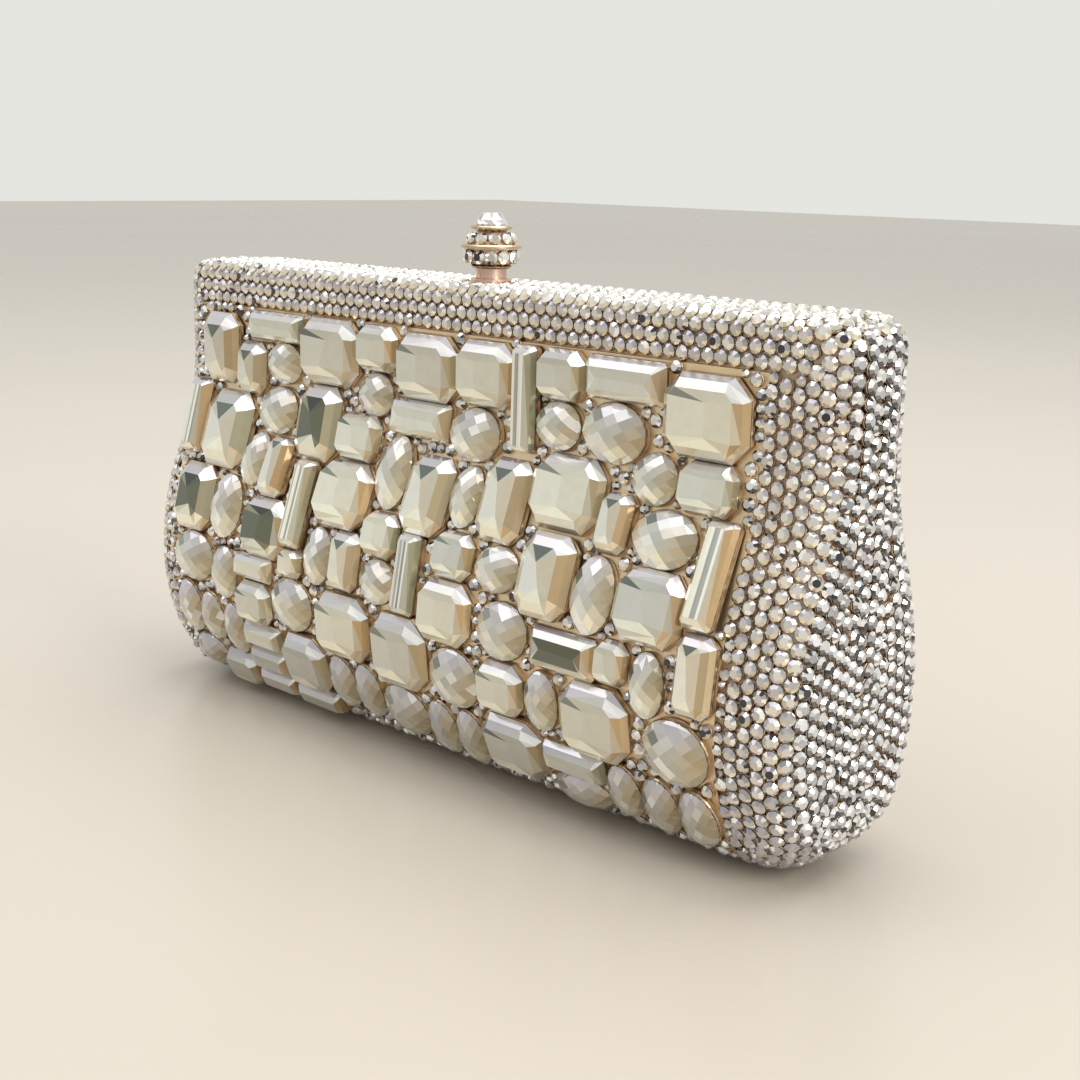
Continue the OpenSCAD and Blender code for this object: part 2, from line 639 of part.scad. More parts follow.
module knob_upper_crystals() {
    lean = atan(1.7 / (crown_z - wide_z - 1.1));
    color("white") seated() for (i = [0:upper_gems - 1]) rotate([0, 0, i * 360 / upper_gems])
        translate([upper_seat + 0.2, 0, upper_z]) rotate([0, 90 - lean, 0]) {
            cylinder(r = upper_gem_r - 0.25, h = 0.6, $fn = 24);
            translate([0, 0, 0.6]) cylinder(r1 = upper_gem_r - 0.25, r2 = 0.7, h = 0.8, $fn = 24);
        }
}

module knob_top_ring() {
    color("goldenrod") seated() translate([0, 0, crown_z]) rotate_extrude($fn = 64)
        polygon([[0, 0], [4.4, 0], [4.7, 0.3], [4.7, 0.6], [4.4, 0.9], [0, 0.9]]);
}

module knob_crown_stone() {
    color("white") seated() translate([0, 0, crown_z + 0.9]) {
        cylinder(r = 3.7, h = 0.5, $fn = 48);
        translate([0, 0, 0.5]) cylinder(r1 = 3.7, r2 = 2.2, h = 2.3, $fn = 48);
    }
}

module latch_foot() {
    color("silver") seated() {
        translate([-5.5, -6.1, foot_top - foot_t]) cube([11, 8.6, foot_t]);
        translate([-5.5, -6.1, foot_top - 0.01]) cube([11, 1, lip_top - foot_top + 0.01]);
    }
}

rear_shell();
rear_pave();
rear_rim();
rear_lining();
inner_pocket();
rear_hinge_leaf();
rear_leaf_rivets();
hinge_pin();
knob_collar();
latch_guide();
guide_screws();
chain_eyes();
return_spring();
front_shell();
front_pave();
front_rim();
front_lining();
front_hinge_leaf();
front_leaf_rivets();
stone_bed();
cushion_stones();
emerald_stones();
baguette_stones();
round_stones();
oval_stones();
filler_crystals();
catch_hook();
hook_rivets();
knob_stem();
knob_core();
knob_foot_ring();
knob_lower_crystals();
knob_wide_ring();
knob_upper_crystals();
knob_top_ring();
knob_crown_stone();
latch_foot();
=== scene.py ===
import bpy
import bmesh
import json
import math
import random
import numpy as np
from mathutils import Matrix, Vector, noise


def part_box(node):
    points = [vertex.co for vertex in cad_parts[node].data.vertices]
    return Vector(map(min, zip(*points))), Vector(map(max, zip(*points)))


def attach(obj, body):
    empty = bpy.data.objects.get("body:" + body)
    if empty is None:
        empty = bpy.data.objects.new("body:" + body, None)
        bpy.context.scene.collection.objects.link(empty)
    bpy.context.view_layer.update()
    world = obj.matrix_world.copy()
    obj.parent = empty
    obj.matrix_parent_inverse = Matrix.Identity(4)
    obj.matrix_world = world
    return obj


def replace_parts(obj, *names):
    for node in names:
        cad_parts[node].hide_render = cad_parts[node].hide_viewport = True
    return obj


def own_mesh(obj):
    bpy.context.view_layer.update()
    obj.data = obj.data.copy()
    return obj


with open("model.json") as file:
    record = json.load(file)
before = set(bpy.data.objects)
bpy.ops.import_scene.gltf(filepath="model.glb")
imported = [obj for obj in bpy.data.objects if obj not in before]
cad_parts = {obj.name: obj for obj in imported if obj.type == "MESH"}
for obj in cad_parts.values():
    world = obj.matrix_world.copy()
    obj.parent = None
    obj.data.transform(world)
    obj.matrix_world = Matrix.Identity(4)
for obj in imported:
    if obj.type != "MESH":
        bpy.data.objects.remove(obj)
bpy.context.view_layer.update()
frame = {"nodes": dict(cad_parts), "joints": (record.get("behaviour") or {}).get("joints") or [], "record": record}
NODES = frame["nodes"]
RECORD = frame["record"]
chance = random.Random(11)

MM = 0.001
SEAM = RECORD["behaviour"]["joints"][0]["pos_m"][1] / MM      # where the two halves meet, in mm

# ---------------------------------------------------------------- the body's form, in mm
BODY_W = (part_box("rear_pave")[1].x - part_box("rear_pave")[0].x) / MM
BODY_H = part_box("rear_pave")[1].z / MM
WAIST_HALF, BELLY_HALF = 13.0, 25.0
BELLY_Z, WAIST_Z = 34.0, 90.0
BASE_HALF, SIDE_R, TOP_EDGE_R = 5.0, 52.0, 2.5
UPRIGHT_R, TOP_CORNER_R, BASE_CORNER_R = 9.0, 7.0, 16.0
HALF_GAP = 0.15
PANEL_LEFT, PANEL_RIGHT, PANEL_TOP, PANEL_BASE = -97.0, 87.0, BODY_H - 11, 3.2
SWAY = 2 * math.atan((BELLY_HALF - WAIST_HALF) / (WAIST_Z - BELLY_Z))
SWAY_R = (WAIST_Z - BELLY_Z) / 2 / math.sin(SWAY)
BASE_R = ((BELLY_Z ** 2 + (BELLY_HALF - BASE_HALF) ** 2 - 2 * (BELLY_HALF - BASE_HALF) * SIDE_R)
          / (2 * BELLY_Z - 2 * SIDE_R))
SIDE_TURN = math.atan((BELLY_Z - BASE_R) / (BASE_HALF - BELLY_HALF + SIDE_R))
RUN_EDGE = WAIST_HALF - TOP_EDGE_R
RUN_STRAIGHT = RUN_EDGE + TOP_EDGE_R * math.pi / 2
RUN_WAIST = RUN_STRAIGHT + BODY_H - TOP_EDGE_R - WAIST_Z
RUN_SWAY = RUN_WAIST + SWAY_R * SWAY
RUN_BELLY = RUN_SWAY + SWAY_R * SWAY
RUN_UNDER = RUN_BELLY + SIDE_R * SIDE_TURN
RUN_BASE = RUN_UNDER + BASE_R * (math.pi / 2 - SIDE_TURN)


def profile(run, depth=0.0):
    """Half depth and height of the side profile at a run from the middle of the top."""
    if run < RUN_EDGE:
        return run, BODY_H - depth
    r = max(TOP_EDGE_R - depth, 0.3)
    if run < RUN_STRAIGHT:
        a = math.pi / 2 - (run - RUN_EDGE) / TOP_EDGE_R
        return WAIST_HALF - depth - r + r * math.cos(a), BODY_H - depth - r + r * math.sin(a)
    if run < RUN_WAIST:
        z = BODY_H - depth - r
        return WAIST_HALF - depth, z + (WAIST_Z - z) * (run - RUN_STRAIGHT) / (RUN_WAIST - RUN_STRAIGHT)
    if run < RUN_SWAY:
        a = (run - RUN_WAIST) / SWAY_R
        return (WAIST_HALF + SWAY_R * (1 - math.cos(a)) - depth * math.cos(a),
                WAIST_Z - (SWAY_R + depth) * math.sin(a))
    if run < RUN_BELLY:
        a = SWAY - (run - RUN_SWAY) / SWAY_R
        return (BELLY_HALF - SWAY_R * (1 - math.cos(a)) - depth * math.cos(a),
                BELLY_Z + (SWAY_R - depth) * math.sin(a))
    if run < RUN_UNDER:
        a = (run - RUN_BELLY) / SIDE_R
        return (BELLY_HALF - SIDE_R + (SIDE_R - depth) * math.cos(a),
                BELLY_Z - (SIDE_R - depth) * math.sin(a))
    a = min(SIDE_TURN + (run - RUN_UNDER) / BASE_R, math.pi / 2)
    q = BASE_HALF + (BASE_R - depth) * math.cos(a)
    return q - max(run - RUN_BASE, 0), BASE_R - (BASE_R - depth) * math.sin(a)


def half_length(z, depth=0.0):
    rt = max(TOP_CORNER_R - depth, 0.5)
    zt = BODY_H - depth - rt
    rb = BASE_CORNER_R - depth
    x = BODY_W / 2 - depth
    if z > zt:
        x -= rt - math.sqrt(max(rt * rt - (z - zt) ** 2, 0))
    if z < BASE_CORNER_R:
        x -= rb - math.sqrt(max(rb * rb - (BASE_CORNER_R - z) ** 2, 0))
    return x


def corner_radius(q, depth=0.0):
    return max(min(UPRIGHT_R - depth, q - HALF_GAP - 0.3), 0.3)


def on_body(across, run, depth=0.0):
    """A point of the rear half's right side. across is 0 where the upright corner starts to turn,
    below 0 on the flat back and above 0 round the corner and along the end."""
    q, z = profile(run, depth)
    h = half_length(z, depth)
    r = corner_radius(q, depth)
    r0 = corner_radius(profile(run)[0])
    if across <= 0:
        return Vector((h - r + across, q, z))
    turn = across / r0
    if turn < math.pi / 2:
        return Vector((h - r + r * math.sin(turn), q - r + r * math.cos(turn), z))
    return Vector((h, q - r - (across - r0 * math.pi / 2), z))


def facing(across, run):
    """Outward direction of the body at a place."""
    e = 0.25
    a = on_body(across + e, run) - on_body(across - e, run)
    b = on_body(across, run + e) - on_body(across, run - e)
    n = a.cross(b)
    if n.length < 1e-9:
        return Vector((0, 0, 1))
    n.normalize()
    out = on_body(across, run) - Vector((0, 0, 60))
    return n if n.dot(out) > 0 else -n


# ---------------------------------------------------------------- finishes

class Amount:
    """A socket's value, so that sums on it read as sums."""

    def __init__(self, finish, socket):
        self.finish, self.socket = finish, socket

    def _sum(self, operation, a, b):
        return self.finish.add("ShaderNodeMath", {"operation": operation}, {0: a, 1: b})[0]

    def __add__(self, other):
        return self._sum("ADD", self, other)

    def __sub__(self, other):
        return self._sum("SUBTRACT", self, other)

    def __rsub__(self, other):
        return self._sum("SUBTRACT", other, self)

    def __mul__(self, other):
        return self._sum("MULTIPLY", self, other)

    __radd__, __rmul__ = __add__, __mul__


class Outputs:
    """A node's outputs, by name or number."""

    def __init__(self, finish, node):
        self.finish, self.node = finish, node

    def __getitem__(self, key):
        return Amount(self.finish, self.node.outputs[key])


class Finish:
    """A material being made."""

    def __init__(self, name):
        self.material = bpy.data.materials.new(name)
        self.material.use_nodes = True
        self.tree = self.material.node_tree
        self.tree.nodes.clear()

    def add(self, kind, settings=None, sockets=None):
        node = self.tree.nodes.new(kind)
        for key, value in (settings or {}).items():
            if key == "stops":
                ramp = node.color_ramp
                while len(ramp.elements) < len(value):
                    ramp.elements.new(0.5)
                for stop, (place, colour) in zip(ramp.elements, value):
                    stop.position, stop.color = place, (*colour, 1)
            else:
                setattr(node, key, value)
        for key, value in (sockets or {}).items():
            if isinstance(value, Amount):
                self.tree.links.new(value.socket, node.inputs[key])
            else:
                node.inputs[key].default_value = value
        return Outputs(self, node)

    def grain(self, scale, detail=3.0, stretch=(1, 1, 1)):
        """Noise over the piece in its own metres, from 0 to 1."""
        place = self.add("ShaderNodeTexCoord")["Object"]
        laid = self.add("ShaderNodeMapping", {}, {"Vector": place, "Scale": stretch})["Vector"]
        return self.add("ShaderNodeTexNoise", {}, {"Vector": laid, "Scale": scale, "Detail": detail})[0]

    def blend(self, share, first, second, how="MIX"):
        return self.add("ShaderNodeMix", {"data_type": "RGBA", "blend_type": how},
                        {0: share, 6: first, 7: second})[2]

    def between(self, share, first, second):
        return self.blend(share, (*first, 1), (*second, 1))

    def raised(self, height, strength, distance):
        return self.add("ShaderNodeBump", {}, {"Strength": strength, "Distance": distance,
                                               "Height": height})["Normal"]

    def surface(self, **sockets):
        shader = self.add("ShaderNodeBsdfPrincipled", {},
                          {key.replace("_", " "): value for key, value in sockets.items()})
        self.add("ShaderNodeOutputMaterial", {}, {"Surface": shader["BSDF"]})
        return self.material


def cut_crystal(name, shine, metal):
    f = Finish(name)
    # Base Color is each facet's colour attribute times a faint grain. The attribute holds painted reflections,
    # painted highlights and painted dark facets as well as the stones' own tones.
    tint = f.add("ShaderNodeAttribute", {"attribute_name": "facet_tint"})["Color"]
    cloud = f.grain(420.0, 2.0)
    shade = f.blend(1.0, tint, f.between(cloud, (0.90,) * 3, (1.05,) * 3), "MULTIPLY")
    return f.surface(Base_Color=shade, Metallic=metal, Roughness=cloud * 0.06 + shine, IOR=1.6,
                     Coat_Weight=0.7, Coat_Roughness=0.03)


def gilt(name, pale, deep, rough=0.24, grain=900.0):
    f = Finish(name)
    wear = f.grain(grain * 0.2)
    fine = f.grain(grain * 3, 4.0)
    return f.surface(Base_Color=f.between(wear, deep, pale), Metallic=1.0,
                     Roughness=wear * 0.16 + rough, Normal=f.raised(fine, 0.25, 0.00008))


def brushed(name, pale, deep):
    f = Finish(name)
    lines = f.grain(260.0, 3.0, (1, 14, 14))
    return f.surface(Base_Color=f.between(lines, deep, pale), Metallic=1.0,
                     Roughness=lines * 0.2 + 0.26, Normal=f.raised(lines, 0.2, 0.00006))


def satin(name, pale, deep):
    f = Finish(name)
    place = f.add("ShaderNodeTexCoord")["Object"]
    threads = f.add("ShaderNodeTexWave", {"wave_type": "BANDS", "bands_direction": "DIAGONAL"},
                    {"Vector": place, "Scale": 900.0, "Distortion": 1.5, "Detail": 2.0})[1]
    painted_fold_shade = f.grain(28.0, 2.0)
    # the colour runs darker and lighter over a broad noise, painted sheen and shade of soft folds, and a little
    # with the weave
    return f.surface(Base_Color=f.between(painted_fold_shade * 0.7 + threads * 0.3, deep, pale),
                     Roughness=threads * 0.12 + 0.34, Normal=f.raised(threads, 0.35, 0.00010),
                     Sheen_Weight=0.35, Sheen_Roughness=0.3)


CRYSTAL = cut_crystal("foiled champagne crystal", 0.13, 0.62)
SMALL_CRYSTAL = cut_crystal("small foiled crystal", 0.06, 0.7)
CLEAR_CRYSTAL = cut_crystal("clear foiled crystal", 0.04, 0.7)
ROSE_GILT = gilt("rose gilt cups", (0.78, 0.63, 0.46), (0.46, 0.34, 0.23))
BED_GILT = gilt("pale gilt bed", (0.90, 0.76, 0.54), (0.66, 0.50, 0.32), 0.3)
RING_GILT = gilt("antique gilt rings", (0.78, 0.64, 0.44), (0.36, 0.27, 0.18), 0.2)
COPPER = gilt("rose copper", (0.74, 0.52, 0.42), (0.44, 0.29, 0.23), 0.2)
HARDWARE = gilt("satin gilt hardware", (0.86, 0.74, 0.55), (0.70, 0.56, 0.38), 0.28)
PRESSED = brushed("pressed shell", (0.52, 0.40, 0.30), (0.30, 0.22, 0.16))
HINGE = brushed("pale hinge steel", (0.80, 0.74, 0.64), (0.60, 0.54, 0.46))
WIRE = brushed("bright wire", (0.86, 0.86, 0.87), (0.62, 0.62, 0.64))
SATIN = satin("champagne satin", (0.62, 0.53, 0.41), (0.40, 0.32, 0.23))
PIPING = satin("satin piping", (0.50, 0.39, 0.27), (0.32, 0.23, 0.15))
THREAD = satin("sewing thread", (0.78, 0.70, 0.56), (0.62, 0.53, 0.40))


# ---------------------------------------------------------------- pieces

def piece(name, verts, faces, finishes, body, finish_of=None, tints_and_painted_light=None, smooth=False):
    """A new mesh piece from points in mm about the seam, riding on a body."""
    mesh = bpy.data.meshes.new(name)
    points = np.asarray(verts, float).reshape(-1, 3) + np.array([0, SEAM, 0])
    mesh.from_pydata((points * MM).tolist(), [], faces)
    for finish in finishes:
        mesh.materials.append(finish)
    if finish_of is not None:
        mesh.polygons.foreach_set("material_index", np.asarray(finish_of, np.int32))
    # facet colours, with painted reflections, painted highlights and painted dark facets in them, go to a colour
    # attribute
    if tints_and_painted_light is not None:
        layer = mesh.color_attributes.new("facet_tint", "FLOAT_COLOR", "CORNER")
        sizes = np.array([len(f) for f in faces])
        colours = np.ones((len(faces), 4))
        colours[:, :3] = tints_and_painted_light
        layer.data.foreach_set("color", np.repeat(colours, sizes, axis=0).ravel())
    if smooth:
        mesh.polygons.foreach_set("use_smooth", np.ones(len(faces), bool))
    mesh.update()
    made = bpy.data.objects.new(name, mesh)
    bpy.context.scene.collection.objects.link(made)
    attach(made, body)
    return made


class Heap:
    """Collects many small solids into one piece."""

    def __init__(self):
        self.verts, self.faces, self.finish_of, self.tints_and_painted_light = [], [], [], []

    def put(self, points, faces, finishes, tints_and_painted_light):
        first = len(self.verts)
        self.verts.extend(points)
        self.faces.extend([tuple(first + i for i in f) for f in faces])
        self.finish_of.extend(finishes)
        self.tints_and_painted_light.extend(tints_and_painted_light)

    def make(self, name, finishes, body, slot):
        return piece(name, self.verts, self.faces, finishes, body, self.finish_of, self.tints_and_painted_light)


def lerp(a, b, share):
    return tuple(x + (y - x) * share for x, y in zip(a, b))


def dimmed(colour, share):
    return tuple(min(max(c * share, 0.01), 1.0) for c in colour)


def axes(normal, up=Vector((0, 0, 1))):
    """Right, up and out for a stone whose table faces along normal."""
    n = normal.normalized()
    if abs(n.dot(up)) > 0.92:
        up = Vector((0, 1, 0)) if n.y <= 0.3 else Vector((0, -1, 0))
    u = (up - n * up.dot(n)).normalized()
    return u.cross(n).normalized(), u, n


# facet colours, mostly painted light: CREAM a painted reflection of the pale floor below, LILAC a painted
# reflection from above, AMBER and OLIVE painted reflections of the warm room to the right, SNOW a painted
# highlight, SMOKE and TEAL painted dark reflections; TABLE and GREY are the stones' own tones, GREY also in the
# left-facing facets' painted reflection
CREAM, GREY, LILAC = (1.00, 0.97, 0.78), (0.53, 0.55, 0.52), (0.62, 0.60, 0.64)
SNOW, AMBER, SMOKE = (1.00, 0.99, 0.96), (0.56, 0.36, 0.17), (0.035, 0.035, 0.04)
TABLE, OLIVE, TEAL = (0.66, 0.66, 0.56), (0.40, 0.38, 0.25), (0.08, 0.11, 0.10)
GIRDLE_SIDES = 10


# painted light on a small stone's lower side, upper side and table, by the part of the bag it sits on and so the
# way it faces: painted reflections below and above, and on the ends a painted shadow below and a painted highlight
# above
PAINTED_LIGHT_BY_PLACE = {"front": ((0.90, 0.80, 0.60), (0.46, 0.44, 0.49), ((0.80, 0.76, 0.70), (0.52, 0.50, 0.50))),
         "end": ((0.10, 0.09, 0.09), (0.98, 0.98, 0.98), ((0.80, 0.80, 0.82), (0.30, 0.30, 0.32))),
         "knob": ((0.80, 0.74, 0.58), (0.95, 0.94, 0.92), ((0.95, 0.93, 0.88), (0.40, 0.38, 0.36))),
         "top": ((0.70, 0.66, 0.56), (0.90, 0.88, 0.84), ((0.95, 0.93, 0.88), (0.62, 0.60, 0.58)))}


def chaton(heap, centre, normal, radius, sink=1.5, light_place="front", dark=0.06):
    """A small round stone with a table and a ring of crown facets, in its gilt cup, its facets coloured with
    painted reflections, painted highlights and painted dark facets.
    """
    low, high, hearts = PAINTED_LIGHT_BY_PLACE[light_place]
    right, up, out = axes(normal)
    lean = chance.uniform(-0.06, 0.06), chance.uniform(-0.06, 0.06)
    out = (out + right * lean[0] + up * lean[1]).normalized()
    right = up.cross(out).normalized()
    up = out.cross(right)
    spin = chance.uniform(0, math.tau)
    rings = [(radius * 1.0, -sink), (radius * 1.02, -1.02), (radius * 0.98, -0.94),
             (radius * 0.97, -0.62), (radius * 0.52, 0.0)]
    points = []
    for r, h in rings:
        for i in range(GIRDLE_SIDES):
            a = spin + math.tau * i / GIRDLE_SIDES
            points.append(centre + right * (r * math.cos(a)) + up * (r * math.sin(a)) + out * h)
    faces, finishes, tints_and_painted_light = [], [], []
    black_heart = chance.random() < dark
    for ring in range(len(rings) - 1):
        for i in range(GIRDLE_SIDES):
            k = (i + 1) % GIRDLE_SIDES
            a, b = ring * GIRDLE_SIDES, (ring + 1) * GIRDLE_SIDES
            faces.append((a + i, a + k, b + k, b + i))
            crown = ring >= len(rings) - 3
            finishes.append(0 if crown else 1)
            # each crown facet's colour runs from the lower side's painted reflection to the upper side's by the
            # way it faces
            tilt = math.sin(spin + math.tau * (i + 0.5) / GIRDLE_SIDES)
            tone = lerp(low, high, min(max(tilt * 0.9 + 0.5, 0), 1))
            roll = chance.random()
            # some facets get a painted white highlight, some a painted dark reflection
            if roll < 0.12:
                tone = SNOW
            elif roll > 1 - dark:
                tone = SMOKE
            else:
                tone = dimmed(tone, chance.uniform(0.7, 1.08))
            # the girdle band is darkened as painted shade in the gaps between the stones
            if ring == len(rings) - 3:
                tone = dimmed(tone, 0.5)
            tints_and_painted_light.append(tone if crown else (1, 1, 1))
    top = (len(rings) - 1) * GIRDLE_SIDES
    faces.append(tuple(top + i for i in range(GIRDLE_SIDES)))
    finishes.append(0)
    # the table gets its painted tone, or now and then a painted dark reflection
    tints_and_painted_light.append(SMOKE if black_heart else dimmed(lerp(*hearts, chance.random() ** 1.5), 1.0))
    heap.put(points, faces, finishes, tints_and_painted_light)


class Spacing:
    """Remembers where stones are, to keep new ones clear of them."""

    def __init__(self, cell=3.0):
        self.cell, self.held = cell, {}

    def key(self, p):
        return tuple(int(math.floor(c / self.cell)) for c in p)

    def clear(self, p, radius, gap):
        kx, ky, kz = self.key(p)
        for i in (-1, 0, 1):
            for j in (-1, 0, 1):
                for k in (-1, 0, 1):
                    for other, r in self.held.get((kx + i, ky + j, kz + k), ()):
                        if (other - p).length < r + radius + gap:
                            return False
        return True

    def keep(self, p, radius):
        self.held.setdefault(self.key(p), []).append((p.copy(), radius))


STONE_R, PITCH, ROW = 1.5, 3.2, 2.92
COLLAR_HOLE, HINGE_SLOT = 4.7, 2.4


def allowed(p, rear, radius):
    """Whether a small stone's centre may sit at a place of the closed body (seam at y = 0)."""
    y = abs(p.y)
    if y < HALF_GAP + radius - 0.05:
        return False
    if p.z < 3.4 and y < HINGE_SLOT + radius:
        return False
    if p.z > BODY_H - 8 and math.hypot(p.x, p.y) < COLLAR_HOLE + radius:
        return False
    if rear or y < 4.6:
        return True
    edge = radius - 1.3
    if PANEL_LEFT - edge < p.x < PANEL_RIGHT + edge and PANEL_BASE - edge < p.z < PANEL_TOP + edge:
        return False
    if abs(p.x) < 84 and p.z < PANEL_TOP - 2 and p.z > PANEL_BASE + 3:
        return True
    return all(stone.gap_to(p) > radius + 0.05 for stone in STONES if abs(stone.z - p.z) < 16)


def small_stone_places(rear):
    """Centres and facings of the small stones on one half, rows first, then columns, then gaps."""
    spacing, places = Spacing(), []
    flip = 1 if rear else -1

    def offer(p, n, radius, gap):
        q = Vector((p.x, p.y * flip, p.z))
        m = Vector((n.x, n.y * flip, n.z))
        if p.y >= HALF_GAP + radius - 0.05 and allowed(q, rear, radius) and spacing.clear(q, radius, gap):
            spacing.keep(q, radius)
            places.append((q, m, radius))

    # rows over the top and the upright faces
    top_rows = [HALF_GAP + STONE_R + 2.65 * k for k in range(4)]
    edge_row = RUN_EDGE + TOP_EDGE_R * math.pi / 4
    side_rows = [edge_row + ROW * k for k in range(int((RUN_BASE + 1.5 - edge_row) / ROW) + 1)]
    for row, run in enumerate(top_rows + side_rows):
        flat = run < RUN_EDGE
        q, z = profile(run)
        reach = half_length(z) - (1.6 if flat else corner_radius(q) - 0.2)
        steps = int(reach / PITCH) + 1
        for i in range(-steps, steps + 1):
            x = i * PITCH + (PITCH / 2 if row % 2 else 0)
            if abs(x) > reach:
                continue
            if flat:
                corner = half_length(BODY_H) - UPRIGHT_R
                away = math.hypot(abs(x) - corner, max(run - (RUN_EDGE - UPRIGHT_R), 0))
                if abs(x) > corner and away > UPRIGHT_R - 0.6:
                    continue
                n, p = Vector((0, 0, 1)), Vector((x, run, BODY_H))
            else:
                n = facing(-20.0, run)
                p = Vector((x, q, z))
            if not rear and not flat and run > 24 and p.z > PANEL_BASE and abs(x) > 60:
                continue
            offer(p, n, STONE_R, -0.1)
    # two columns along the seam on the ends
    for column in range(2):
        y = HALF_GAP + STONE_R + 2.75 * column
        for side in (1, -1):
            due = (1.0 + 0.5 * column) * PITCH
            walked, z = 0.0, 3.6
            last = Vector((half_length(z), 0, z))
            while z < BODY_H - 1.6:
                here = Vector((half_length(z), 0, z))
                walked += (here - last).length
                last = here
                if walked >= due:
                    ahead = Vector((half_length(z + 0.3) - half_length(z - 0.3), 0, 0.6))
                    n = Vector((ahead.z * side, 0, -ahead.x)).normalized()
                    offer(Vector((here.x * side, y, z)), n, STONE_R, -0.1)
                    due += PITCH
                z += 0.1
    # columns on the front's border, round the upright corners and over the ends
    for k in range(0, 14):
        across = -8.6 + 3.12 * k
        for side in (1, -1):
            run, walked, due = 11.2, 0.0, (0.0 if k % 2 else PITCH / 2)
            last = on_body(across, run)
            while run < RUN_BASE + 3:
                here = on_body(across, run)
                walked += (here - last).length
                last = here
                if walked >= due:
                    n = facing(across, run)
                    offer(Vector((here.x * side, here.y, here.z)), Vector((n.x * side, n.y, n.z)),
                          STONE_R, -0.16)
                    due += 3.26
                run += 0.15
    # what is left over, with full stones where they fit and then with tiny ones
    loose = [(chance.uniform(-9, 40), chance.uniform(10.6, RUN_BASE + 3), chance.choice((1, -1)))
             for _ in range(16000)]
    for radius, gap in ((STONE_R, -0.2), (1.15, -0.12), (0.78, -0.06)):
        for across, run, side in loose:
            p = on_body(across, run)
            if p.y < HALF_GAP + radius - 0.05:
                continue
            q = Vector((p.x * side, p.y * flip, p.z))
            if not allowed(q, rear, radius) or not spacing.clear(q, radius, gap):
                continue
            n = facing(across, run)
            offer(Vector((p.x * side, p.y, p.z)), Vector((n.x * side, n.y, n.z)), radius, gap)
    return places


def lay_small_stones():
    for rear in (True, False):
        groups = {}
        for p, n, radius in small_stone_places(rear):
            if rear:
                name = "rear_crystals_left" if p.x < 0 else "rear_crystals_right"
            elif p.z > BODY_H - 12 and abs(p.x) < 96:
                name = "front_crystals_top"
            else:
                name = "front_crystals_left" if p.x < 0 else "front_crystals_right"
            heap = groups.setdefault(name, Heap())
            # the painted light a stone gets follows the way it faces (end, top or front), and end stones get more
            # painted dark facets
            light_place = "end" if abs(n.x) > 0.75 else "top" if n.z > 0.8 and p.z > 60 else "front"
            sunk = n * (1 - radius / STONE_R) * 0.45
            chaton(heap, p - sunk - n * 0.02, n, radius * chance.uniform(1.05, 1.10), 1.45, light_place,
                   0.08 if light_place == "end" else 0.02)
        body = "rear_half" if rear else "front_half"
        for name, heap in groups.items():
            made = heap.make(name, [SMALL_CRYSTAL, ROSE_GILT], body, "crystal_skin")
            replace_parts(made, "rear_pave" if rear else "front_pave")


# ---------------------------------------------------------------- the large stones

def islands(node):
    """The separate solids of a CAD node: each one's points and its faces' normals and areas."""
    mesh = bmesh.new()
    mesh.from_mesh(NODES[node].data)
    bmesh.ops.remove_doubles(mesh, verts=mesh.verts, dist=1e-6)
    mesh.verts.ensure_lookup_table()
    seen, found = set(), []
    for start in mesh.verts:
        if start.index in seen:
            continue
        stack, group = [start], []
        seen.add(start.index)
        while stack:
            v = stack.pop()
            group.append(v)
            for edge in v.link_edges:
                other = edge.other_vert(v)
                if other.index not in seen:
                    seen.add(other.index)
                    stack.append(other)
        areas = {}
        for face in {f for v in group for f in v.link_faces}:
            key = tuple(round(c, 3) for c in face.normal)
            areas[key] = areas.get(key, 0) + face.calc_area()
        base = max(areas, key=areas.get)
        found.append(([v.co / MM for v in group], -Vector(base).normalized()))
    mesh.free()
    return found


BED_DEPTH = 0.7
PANEL_RUNS = [0.25 * k for k in range(56, 560)]


class Stone:
    """Where a large stone sits: its base's middle, its size and its directions."""

    def __init__(self, cut, points, out):
        self.cut, self.out = cut, out
        self.right = Vector((1, 0, 0))
        self.up = out.cross(self.right).normalized()
        xs = [p.x for p in points]
        ys = [p.dot(self.up) for p in points]
        zs = [p.dot(out) for p in points]
        self.w, self.h = max(xs) - min(xs), max(ys) - min(ys)
        self.tall = max(zs) - min(zs)
        self.x, self.v = (max(xs) + min(xs)) / 2, (max(ys) + min(ys)) / 2
        self.base = min(zs)
        self.centre = self.right * self.x + self.up * self.v + out * self.base
        self.centre.y -= SEAM
        self.z = self.centre.z
        self.run = min(PANEL_RUNS, key=lambda run: sum(
            abs(a - b) for a, b in zip(profile(run, BED_DEPTH), (-self.centre.y, self.z))))

    def at(self, x, y, z):
        return self.centre + self.right * x + self.up * y + self.out * z

    def gap_to(self, p):
        """Distance from a place near the front to the edge of the stone's box."""
        away = p - self.centre
        return math.hypot(max(abs(away.dot(self.right)) - self.w / 2, 0),
                          max(abs(away.dot(self.up)) - self.h / 2, 0))

    def room_beside(self, others):
        """How far the stone's sides may grow until they meet the stones beside and above it."""
        beside = above = MOST_GROWTH
        for other in others:
            if other is self:
                continue
            dx = abs(self.x - other.x) - (self.w + other.w) / 2
            dy = abs(self.run - other.run) - (self.h + other.h) / 2
            if dx > dy:
                beside = min(beside, dx / 2)
            else:
                above = min(above, dy / 2)
        return max(beside, LEAST_GROWTH), max(above, LEAST_GROWTH)


